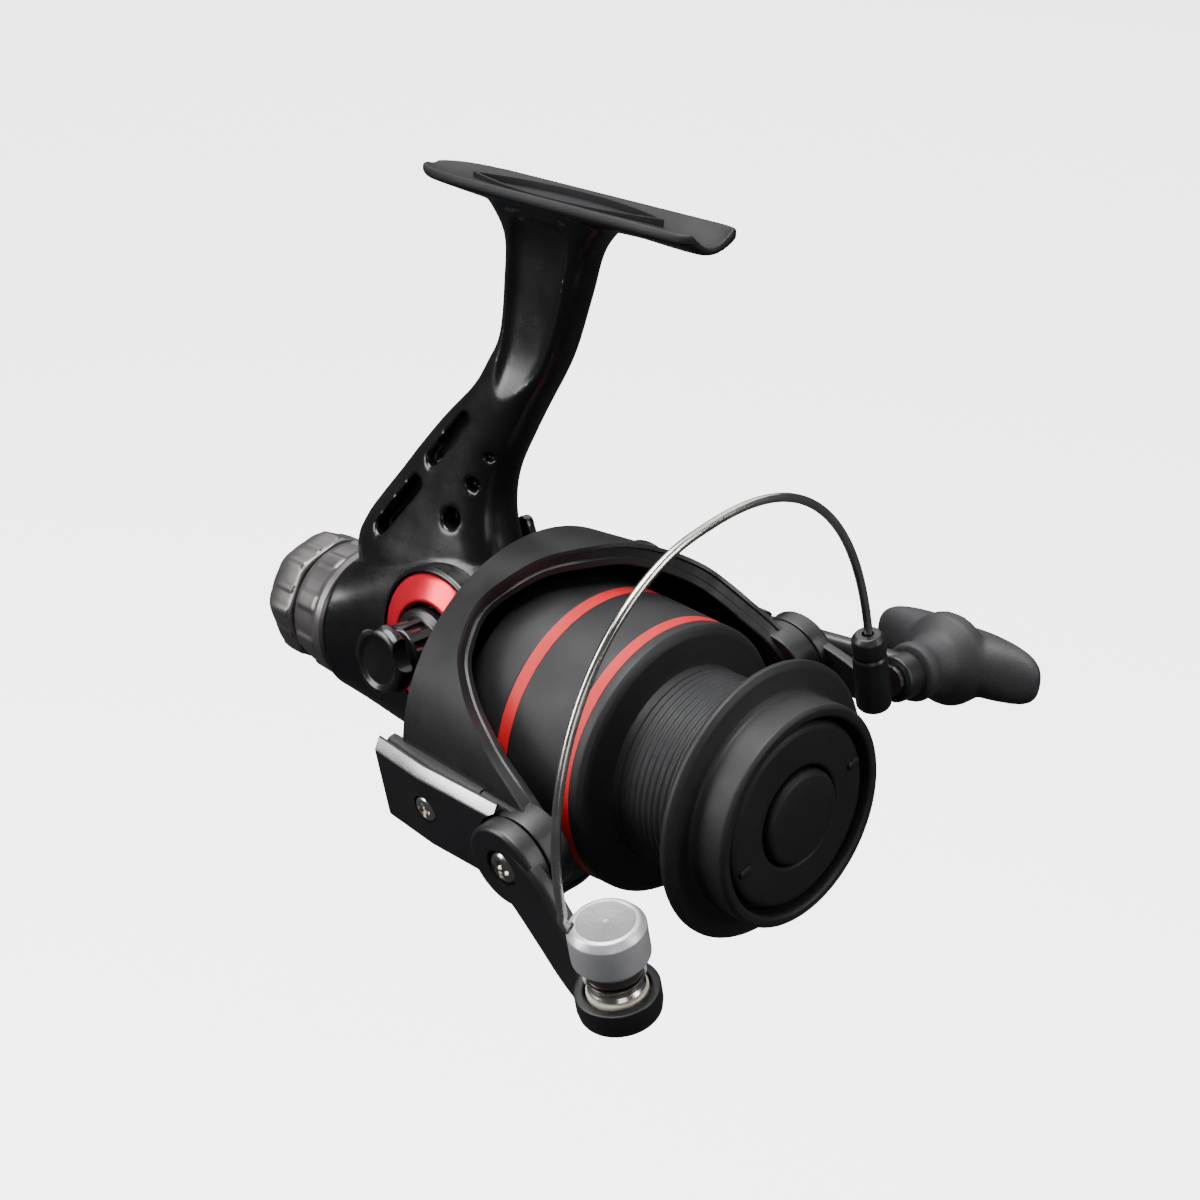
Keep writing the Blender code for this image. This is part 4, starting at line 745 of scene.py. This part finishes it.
# ---------------------------------------------------------------- spool
def build_spool():
    def skirt(x):
        return 25.8 + (-21.0 - x) * 0.043

    front = [(-2.5, 9.4), (3.2, 9.6), (3.2, 18.5), (7.6, 18.5), (8.0, 18.9), (8.0, 20.2), (7.4, 20.75), (1.4, 20.7), (0.7, 21.2),
             (0.15, 25.0), (-0.5, 26.0), (-1.5, 25.95), (-2.5, 24.8), (-4.2, 20.2), (-5.2, 18.5)]
    bed = []
    for i in range(70):
        x = -5.5 - 14.0 * i / 69
        bed.append((x, 18.3 + 0.30 * (0.5 + 0.5 * math.cos(2 * math.pi * (x + 5.5) / 1.4))))
    rear = [(-20.1, 18.8), (-20.5, 20.0), (-20.8, 24.2), (-21.2, 25.2), (-22.0, skirt(-22.0)), (-23.7, skirt(-23.7)),
            (-23.9, skirt(-23.9) - 0.12), (-26.3, skirt(-26.3) - 0.12), (-26.5, skirt(-26.5)), (-39.1, skirt(-39.1)),
            (-39.3, skirt(-39.3) - 0.12), (-42.0, skirt(-42.0) - 0.12), (-42.2, skirt(-42.2)), (-52.5, skirt(-52.5)),
            (-53.0, skirt(-53.0) - 0.5), (-53.0, 25.3), (-24.5, 24.0), (-23.4, 22.6), (-23.4, 16.4), (-9.0, 16.0), (-8.0, 15.0),
            (-8.0, 5.6), (-24.4, 5.6), (-24.4, 1.8), (-2.5, 1.8)]
    profile = fillet(front, 0.35, False, 3) + bed + fillet(rear, 0.25, False, 3)
    piece("line_spool", turned(profile, 192), "matte_black", "spool_group", ("spool",))
    cap = fillet([(3.6, 9.5), (3.6, 17.3), (6.2, 17.3), (6.8, 16.9), (7.1, 16.1), (7.3, 10.0), (7.0, 9.5)], 0.25, True, 3)
    item = bare("front_disc", turned(cap, 160))
    for side in (-1, 1):
        mark = prism(rounded(0.0, 14.9, 0.75, 1.4, 24, 4.0), 6.6, 7.7, "X", 0.2)
        mark.transform(Matrix.Rotation(math.radians(25 + 90 * side), 4, "X"))
        combine(item, mark, "UNION")
    dress(item, "cap_black", "spool_group", ("spool_cap",), "satin_black")
    profile = fillet([(1.4, 0.0), (1.4, 8.85), (7.7, 8.85), (8.35, 8.2), (8.6, 5.0), (8.7, 0.0)], 0.5, False, 4)
    piece("release_button", turned(profile, 128), "cap_black", "button", ("spool_button",), "satin_black")


# ---------------------------------------------------------------- rotor
RIM_EDGE = ((0.0, -21.0), (10.0, -22.0), (19.0, -28.6), (30.0, -34.0), (74.0, -43.8), (97.0, -49.7), (116.0, -52.6),
            (133.0, -50.0), (147.0, -42.0), (159.0, -32.0), (170.0, -22.0), (180.0, -21.0))


def rim_front(angle):
    """The rim's height, smoothed over a few degrees."""
    total = 0.0
    for k in range(-4, 5):
        total += smooth_between(RIM_EDGE, (angle + k * 1.6) % 180.0)
    return total / 9.0


def rotor_cup(steps=240):
    mesh = bmesh.new()
    rings = []
    for i in range(steps):
        angle = 360.0 * i / steps
        front = rim_front(angle)
        section = [(-61.0, 19.2), (-61.0, 31.4), (-59.6, 33.4), (front - 0.1, 34.95), (front, 34.2), (front - 0.5, 33.9),
                   (front - 0.5, 32.4), (front, 32.1), (front, 30.9), (front - 0.3, 30.6), (-58.6, 29.8), (-58.6, 22.4),
                   (-45.6, 22.2), (-44.2, 20.6), (-42.2, 9.0), (-42.2, 3.45), (-46.2, 3.45), (-46.2, 17.0), (-47.8, 19.2)]
        c, s = math.cos(math.radians(angle)), math.sin(math.radians(angle))
        rings.append([mesh.verts.new((x, radius * c, radius * s)) for x, radius in section])
    for first, second in zip(rings, rings[1:] + rings[:1]):
        join_rings(mesh, first, second)
    return closed(mesh)


def arm_height(x):
    return min(35.2, 34.0 + (x + 62.5) * 0.096)


def arm_block(side, stations, half_width, edge=0.8, upper=None):
    """A block along an arm, chamfered on its outer edges."""
    upper = upper or edge
    rings = []
    for x, inner, outer in stations:
        w = half_width
        section = fillet([(inner, -w), (inner, w), (outer - edge, w), (outer, w - upper), (outer, edge - w), (outer - edge, -w)],
                         0.35, True, 3, even=True)
        rings.append([(x, side * n, v) for n, v in section])
    return loft(rings)


def build_rotor():
    item = bare("rotor_cup", rotor_cup(), ROTOR_WORLD)
    for side in (1, -1):
        stations = [(-62.8, 31.4, arm_height(-62.8)), (-50.0, 31.4, arm_height(-50.0)), (-36.2, 31.4, arm_height(-36.2))]
        combine(item, arm_block(side, stations, 8.4), "UNION", ROTOR_WORLD)
        combine(item, arm_block(side, [(-37.0, 31.1, 35.1), (PIVOT_X, 31.1, 35.1)], 8.1), "UNION", ROTOR_WORLD)
        pad = fillet([(30.9, 0.0), (30.9, 8.2), (36.2, 8.2), (36.2, 0.0)], 0.3)
        combine(item, turned([(side * n, r) for n, r in pad], 96, "Y", (PIVOT_X, 0.0, 0.0)), "UNION", ROTOR_WORLD)
        combine(item, rod((PIVOT_X, side * 33.2, 0.0), (PIVOT_X, side * 38.0, 0.0), 2.2), "DIFFERENCE", ROTOR_WORLD)
        combine(item, rod((-50.0, side * 32.0, 0.0), (-50.0, side * 38.0, 0.0), 1.4), "DIFFERENCE", ROTOR_WORLD)
    room = [(-33.9, 3.4), (-33.9, 6.4), (-38.0, 6.4), (-38.0, 3.4)]
    combine(item, turned(room, 64, "Y", (PIVOT_X, 0.0, 0.0)), "DIFFERENCE", ROTOR_WORLD)
    dress(item, "satin_black", "rotor_group", ("rotor",), "satin_black", angle=30)


def build_covers():
    for label, side in (("near", -1), ("far", 1)):
        stations = [(x, arm_height(x) + 0.3, arm_height(x) + 2.3) for x in (-63.4, -56.0, -50.0, -40.0, -30.0)]
        item = bare(f"arm_plate_{label}", arm_block(side, stations, 9.3, 1.5, 2.1), ROTOR_WORLD)
        combine(item, rod((PIVOT_X, side * 30.0, 0.0), (PIVOT_X, side * 44.0, 0.0), 8.9, 96), "DIFFERENCE", ROTOR_WORLD)
        combine(item, rod((-50.0, side * 30.0, 0.0), (-50.0, side * 42.0, 0.0), 1.4), "DIFFERENCE", ROTOR_WORLD)
        combine(item, rod((-50.0, side * 36.6, 0.0), (-50.0, side * 42.0, 0.0), 3.0), "DIFFERENCE", ROTOR_WORLD)
        dress(item, "satin_black", "rotor_group", (f"arm_cover_{label}",), "satin_black", angle=30)
        # paints a highlight on the cover's up-facing chamfer
        paint_edge_highlight(item, side)
        for name, x, values in ((f"cover_screw_{label}", -50.0, (32.4, 36.9, 37.7, 1.1, 2.6)),
                                (f"pivot_screw_{label}", PIVOT_X, (33.6, 39.5, 41.0, 1.9, 3.3))):
            build_screw(name, x, side, *values)


def paint_edge_highlight(item, side):
    """A painted highlight: a bright metallic finish on only the up-facing chamfer along a cover's upper edge."""
    turn = ROTOR_WORLD.to_3x3().normalized()
    diagonal = (turn @ Vector((0.0, side * 0.82, 0.57))).normalized()
    # only faces turned up and outwards take the painted highlight finish
    second_finish(item, "painted_highlight_edge", lambda face, middle: face.normal.dot(diagonal) > 0.93)


def build_screw(name, x, side, inner, under_head, top, shank, head):
    """A domed cross-head screw."""
    profile = [(inner, 0.0), (inner, shank), (under_head, shank), (under_head, head)]
    rise = top - under_head
    for k in range(7):
        angle = math.radians(15 + 72 * k / 6)
        profile.append((under_head + rise * math.sin(angle), head * math.cos(angle) ** 0.6))
    profile.append((top, 0.0))
    mesh = turned([(side * n, r) for n, r in profile], 64, "Y", (x, 0.0, 0.0))
    item = bare(name + "_domed", mesh, ROTOR_WORLD)
    low, high = sorted((side * (top - 0.75), side * (top + 1.0)))
    long, thin = head * 0.62, head * 0.15
    for half_x, half_w in ((long, thin), (thin, long)):
        combine(item, box((x - half_x, low, -half_w), (x + half_x, high, half_w)), "DIFFERENCE", ROTOR_WORLD)
    dress(item, "bright_steel", "rotor_group", (name,), "bright_steel")


# ---------------------------------------------------------------- bail
def strip(side, stations, fine=8):
    rows = flowing(stations, fine)
    rings = []
    for i, (x, w, out, half_width, half_thick) in enumerate(rows):
        ahead = rows[min(i + 1, len(rows) - 1)]
        behind = rows[max(i - 1, 0)]
        heading = math.atan2(ahead[1] - behind[1], ahead[0] - behind[0])
        across = (-math.sin(heading), math.cos(heading))
        shape = [(-half_width, -half_thick), (half_width, -half_thick), (half_width, half_thick * 0.45),
                 (half_width * 0.82, half_thick), (-half_width * 0.82, half_thick), (-half_width, half_thick * 0.45)]
        ring = []
        for a, b in fillet(shape, 0.4, True, 3, even=True):
            ring.append((x + across[0] * a, side * (out + b), w + across[1] * a))
        rings.append(ring)
    return loft(rings)


def hub(side, radius):
    profile = fillet([(36.6, 0.0), (36.6, radius), (40.0, radius), (40.6, radius - 0.6), (40.6, 0.0)], 0.3)
    return turned([(side * n, r) for n, r in profile], 96, "Y", (PIVOT_X, 0.0, 0.0))


def open_hub(item, side):
    combine(item, rod((PIVOT_X, side * 30.0, 0.0), (PIVOT_X, side * 45.0, 0.0), 2.2), "DIFFERENCE", ROTOR_WORLD)
    combine(item, rod((PIVOT_X, side * 39.2, 0.0), (PIVOT_X, side * 45.0, 0.0), 3.7, 64), "DIFFERENCE", ROTOR_WORLD)


def build_bail():
    place = (ROLLER_X, -ROLLER_S, 0.0)
    arm = bare("roller_arm", hub(-1, 8.3), ROTOR_WORLD)
    stations = ((-29.0, 1.8, 39.4, 6.2, 1.1), (-21.0, -3.0, 39.6, 6.6, 1.5), (-14.6, -9.4, 40.1, 5.4, 2.0),
                (-9.8, -14.2, 40.6, 4.2, 2.5), (-4.6, -16.6, 41.0, 2.6, 3.6), (1.5, -16.5, ROLLER_S, 2.3, 5.0))
    combine(arm, strip(-1, stations), "UNION", ROTOR_WORLD)
    seat = fillet([(-18.6, 0.0), (-18.6, 5.4), (-17.2, 7.2), (-15.6, 7.5), (-12.4, 7.5), (-12.2, 5.9), (-13.95, 5.9),
                   (-13.95, 0.0)], 0.3)
    combine(arm, turned(seat, 96, "Z", place), "UNION", ROTOR_WORLD)
    open_hub(arm, -1)
    combine(arm, rod((ROLLER_X, -ROLLER_S, -22.0), (ROLLER_X, -ROLLER_S, -10.0), 1.9), "DIFFERENCE", ROTOR_WORLD)
    combine(arm, rod((ROLLER_X, -ROLLER_S, -22.0), (ROLLER_X, -ROLLER_S, -16.8), 3.4), "DIFFERENCE", ROTOR_WORLD)
    dress(arm, "satin_black", "bail", ("bail_arm",), "gloss_black", angle=30)

    bush = fillet([(-13.7, 1.9), (-13.7, 5.4), (-12.0, 5.4), (-12.0, 1.9)], 0.3, True, 3)
    piece("cream_bush", turned(bush, 96, "Z", place), "white_nylon", "bail", ("roller_bush",), place=ROTOR_WORLD)
    roller = fillet([(-11.7, 1.9), (-11.7, 5.2), (-10.9, 4.6), (-9.8, 4.6), (-9.0, 5.6), (-9.0, 1.9)], 0.35, True, 3)
    piece("polished_roller", turned(roller, 96, "Z", place), "bright_steel", "roller", ("line_roller",), "silver", place=ROTOR_WORLD)
    cap = fillet([(-2.6, 0.0), (-2.6, 1.9), (-8.7, 1.9), (-8.7, 5.0), (-7.0, 4.8), (-6.6, 5.4), (-5.0, 6.85), (0.9, 6.85), (2.1, 5.9),
                  (2.35, 5.2), (2.05, 4.9), (2.0, 0.7), (1.75, 0.4), (1.7, 0.0)], 0.2, False, 3)
    item = bare("silver_cap", turned(cap, 128, "Z", place), ROTOR_WORLD)
    along = (Vector(WIRE_BEND) - Vector(WIRE_ROOT)).normalized()
    socket = rod(Vector(WIRE_ROOT) - 0.4 * along, Vector(WIRE_BEND) + 4.0 * along, 1.15)
    combine(item, socket, "DIFFERENCE", ROTOR_WORLD)
    dress(item, "silver", "bail", ("bail_cap",), "silver")
    up = (ROTOR_WORLD.to_3x3() @ Vector((0.0, 0.0, 1.0))).normalized()
    top = ROTOR_WORLD @ Vector((ROLLER_X, -ROLLER_S, 2.0))
    second_finish(item, "speckled_silver",
                  lambda face, middle: face.normal.dot(up) > 0.9 and (TO_WORLD @ middle - top).length < 5.0 * MM)
    second_finish(item, "dark_nickel",
                  lambda face, middle: up.dot(TO_WORLD @ middle - top) < -8.7 * MM)
    piece("bent_wire", swept(wire_path(), 0.83, 20), "bright_steel", "bail", ("bail_wire",), place=ROTOR_WORLD)

    lever = bare("wire_lever", hub(1, 8.0), ROTOR_WORLD)
    stations = ((-29.0, 0.4, 39.4, 5.2, 1.1), (-20.0, -1.0, 39.4, 5.0, 1.3), (-12.0, -2.0, 39.4, 3.6, 1.4), (POST_X, -2.4, POST_S, 2.8, 2.0))
    combine(lever, strip(1, stations), "UNION", ROTOR_WORLD)
    post = fillet([(-6.0, 0.0), (-6.0, 2.8), (-5.2, 3.4), (5.4, 3.3), (6.0, 2.9), (6.6, 3.3), (9.6, 3.2), (10.6, 2.4), (10.6, 0.0)], 0.35)
    combine(lever, turned(post, 72, "Z", (POST_X, POST_S, 0.0)), "UNION", ROTOR_WORLD)
    combine(lever, rod((POST_X, POST_S, 8.6), (POST_X, POST_S, 14.0), 1.2), "DIFFERENCE", ROTOR_WORLD)
    open_hub(lever, 1)
    dress(lever, "satin_black", "bail", ("bail_lever",), "gloss_black", angle=30)


def wire_path(steps=34):
    middle_s, base_w, half_span, rise = -3.6, 5.0, 42.6, 49.8
    points = [WIRE_ROOT, WIRE_BEND]
    for i in range(steps + 1):
        angle = math.pi * (1.0 - i / steps)
        power = 2.0 if angle > math.pi / 2 else 2.5
        c, s = math.cos(angle), math.sin(angle)
        across = math.copysign(abs(c) ** (2.0 / power), c)
        up = abs(s) ** (2.0 / power)
        x = -4.0 + (POST_X + 4.0) * i / steps
        points.append((x, middle_s + half_span * across, base_w + rise * up))
    points.pop()
    points.append((POST_X, POST_S, 9.2))
    return flowing(points, 5)


# ---------------------------------------------------------------- handle
def build_handle():
    centre = (GEAR[0], 0.0, GEAR[1])
    profile = fillet([(15.0, 0.0), (15.0, 8.2), (17.5, 8.2), (20.0, 6.0), (28.0, 5.2), (35.0, 5.4), (38.5, 8.0), (39.5, 9.0), (46.5, 9.0),
                      (47.5, 8.0), (47.5, 0.0)], 0.9)
    item = bare("crank_boss", turned(profile, 96, "Y", centre))
    combine(item, rod((GEAR[0], 13.0, GEAR[1]), (GEAR[0], 36.3, GEAR[1]), 2.6), "DIFFERENCE")
    combine(item, box((-75.2, 39.4, GEAR[1] - 5.4), (-60.0, 52.0, GEAR[1] + 5.4)), "DIFFERENCE")
    combine(item, rod((*HINGE, GEAR[1] - 12.0), (*HINGE, GEAR[1] + 12.0), 1.5), "DIFFERENCE")
    dress(item, "gloss_black", "crank", ("crank_hub",), "gloss_black", angle=30)

    stations = ((-72.6, 43.0, 7.5, 5.0, 2.3), (-62.0, 43.3, 7.3, 4.6, 2.4), (-44.0, 46.0, 6.6, 4.0, 2.2),
                (-28.0, 51.4, 5.6, 4.2, 2.2), (-18.0, 54.4, 4.8, 4.6, 2.2), (KNOB[0] + 1.0, 55.0, KNOB[1], 4.6, 2.2))
    rings = []
    for x, y, z, high, thick in flowing(stations, 10):
        rings.append([(x, b, c) for b, c in rounded(y, z, thick, high, 40, 3.0)])
    arm = bare("crank_arm", loft(rings))
    combine(arm, rod((*HINGE, GEAR[1] - 5.0), (*HINGE, GEAR[1] + 5.0), 3.2, 64), "UNION")
    tip = fillet([(52.7, 0.0), (52.7, 4.7), (57.4, 4.7), (57.4, 0.0)], 0.5)
    combine(arm, turned(tip, 72, "Y", (KNOB[0], 0.0, KNOB[1])), "UNION")
    combine(arm, rod((*HINGE, GEAR[1] - 8.0), (*HINGE, GEAR[1] + 8.0), 1.5), "DIFFERENCE")
    combine(arm, rod((KNOB[0], 50.0, KNOB[1]), (KNOB[0], 60.0, KNOB[1]), 2.2), "DIFFERENCE")
    combine(arm, rod((KNOB[0], 48.0, KNOB[1]), (KNOB[0], 52.8, KNOB[1]), 3.6), "DIFFERENCE")
    dress(arm, "satin_black", "handle", ("handle_arm",), "gloss_black", angle=30)

    half = ((0.0, 79.95, 65.5, 6.6), (0.3, 79.5, 67.8, 6.6), (0.6, 78.3, 69.8, 6.2), (0.84, 76.8, 71.4, 5.2),
            (0.96, 75.6, 72.2, 3.6), (1.0, 74.6, 73.0, 1.8))
    stations = [(-t, a, b, c) for t, a, b, c in reversed(half[1:])] + list(half)
    rings = []
    for share, outer, inner, thick in flowing(stations, 6):
        section = rounded((outer + inner) / 2, KNOB[1], (outer - inner) / 2, thick, 48, 2.2)
        rings.append([(KNOB[0] + 19.7 * share, y, z) for y, z in section])
    knob = bare("tee_grip", loft(rings))
    neck = ((58.0, 0.0), (58.0, 5.7), (58.5, 6.1), (60.4, 6.0), (61.2, 5.5), (63.0, 5.4), (66.0, 6.4), (69.0, 9.6), (72.0, 9.6),
            (72.0, 0.0))
    combine(knob, turned(list(neck), 72, "Y", (KNOB[0], 0.0, KNOB[1])), "UNION")
    blend(knob, 0.45, 10)
    combine(knob, rod((KNOB[0], 55.0, KNOB[1]), (KNOB[0], 72.4, KNOB[1]), 2.2), "DIFFERENCE")
    dress(knob, "soft_grip", "knob", ("handle_knob",), "soft_grip", angle=40)


def build_lock_knob():
    centre = (GEAR[0], 0.0, GEAR[1])
    profile = fillet([(-12.4, 0.0), (-12.4, 5.8), (-13.0, 7.9), (-15.6, 7.9), (-16.0, 6.4), (-21.8, 5.9), (-22.4, 4.6),
                      (-23.0, 4.8), (-23.6, 6.7), (-24.3, 7.3), (-25.5, 7.2), (-26.5, 6.5), (-26.8, 5.4), (-26.2, 4.4),
                      (-26.1, 0.0)], 0.35)
    item = bare("lock_screw", turned(profile, 128, "Y", centre))
    for i in range(10):
        angle = 2.0 * math.pi * i / 10
        x, z = GEAR[0] + 6.6 * math.cos(angle), GEAR[1] + 6.6 * math.sin(angle)
        combine(item, rod((x, -21.3, z), (x, -16.6, z), 1.25, 20), "DIFFERENCE")
    for i in range(4):
        angle = 2.0 * math.pi * (i + 0.30) / 4
        x, z = GEAR[0] + 10.9 * math.cos(angle), GEAR[1] + 10.9 * math.sin(angle)
        combine(item, rod((x, -29.0, z), (x, -22.6, z), 5.4, 96), "DIFFERENCE")
    dress(item, "gloss_black", "crank", ("handle_lock_knob",), "gloss_black", angle=30)


def build_lever():
    low = [(-77.2, 25.4), (-72.8, 25.4), (-73.2, 28.2), (-73.9, 29.4), (-75.0, 29.8), (-76.1, 29.4), (-76.8, 28.2)]
    item = bare("thumb_lever", prism(fillet(low, 0.6, True, 3), 8.8, 10.9, "Y", 0.4))
    combine(item, rod((-75.0, 8.85, 26.2), (-75.0, 10.7, 26.2), 2.4, 48), "UNION")
    dress(item, "gloss_black", "lever", ("anti_reverse_lever",), "gloss_black", angle=30)


# ---------------------------------------------------------------- the rest of the CAD nodes
def finish_nodes():
    """Each CAD node that stays visible takes the finish of its own slot."""
    slots = {row["node"]: row["material_slot"] for row in frame["record"]["subparts"]}
    for name, item in frame["nodes"].items():
        material = MATERIALS.get(slots.get(name, ""), MATERIALS["zinc"])
        for holder in item.material_slots:
            holder.material = material


build_camera()
build_stage()
finish_nodes()
build_body()
build_rings()
build_rear()
build_drag_knob()
build_spool()
build_rotor()
build_covers()
build_bail()
build_handle()
build_lock_knob()
build_lever()
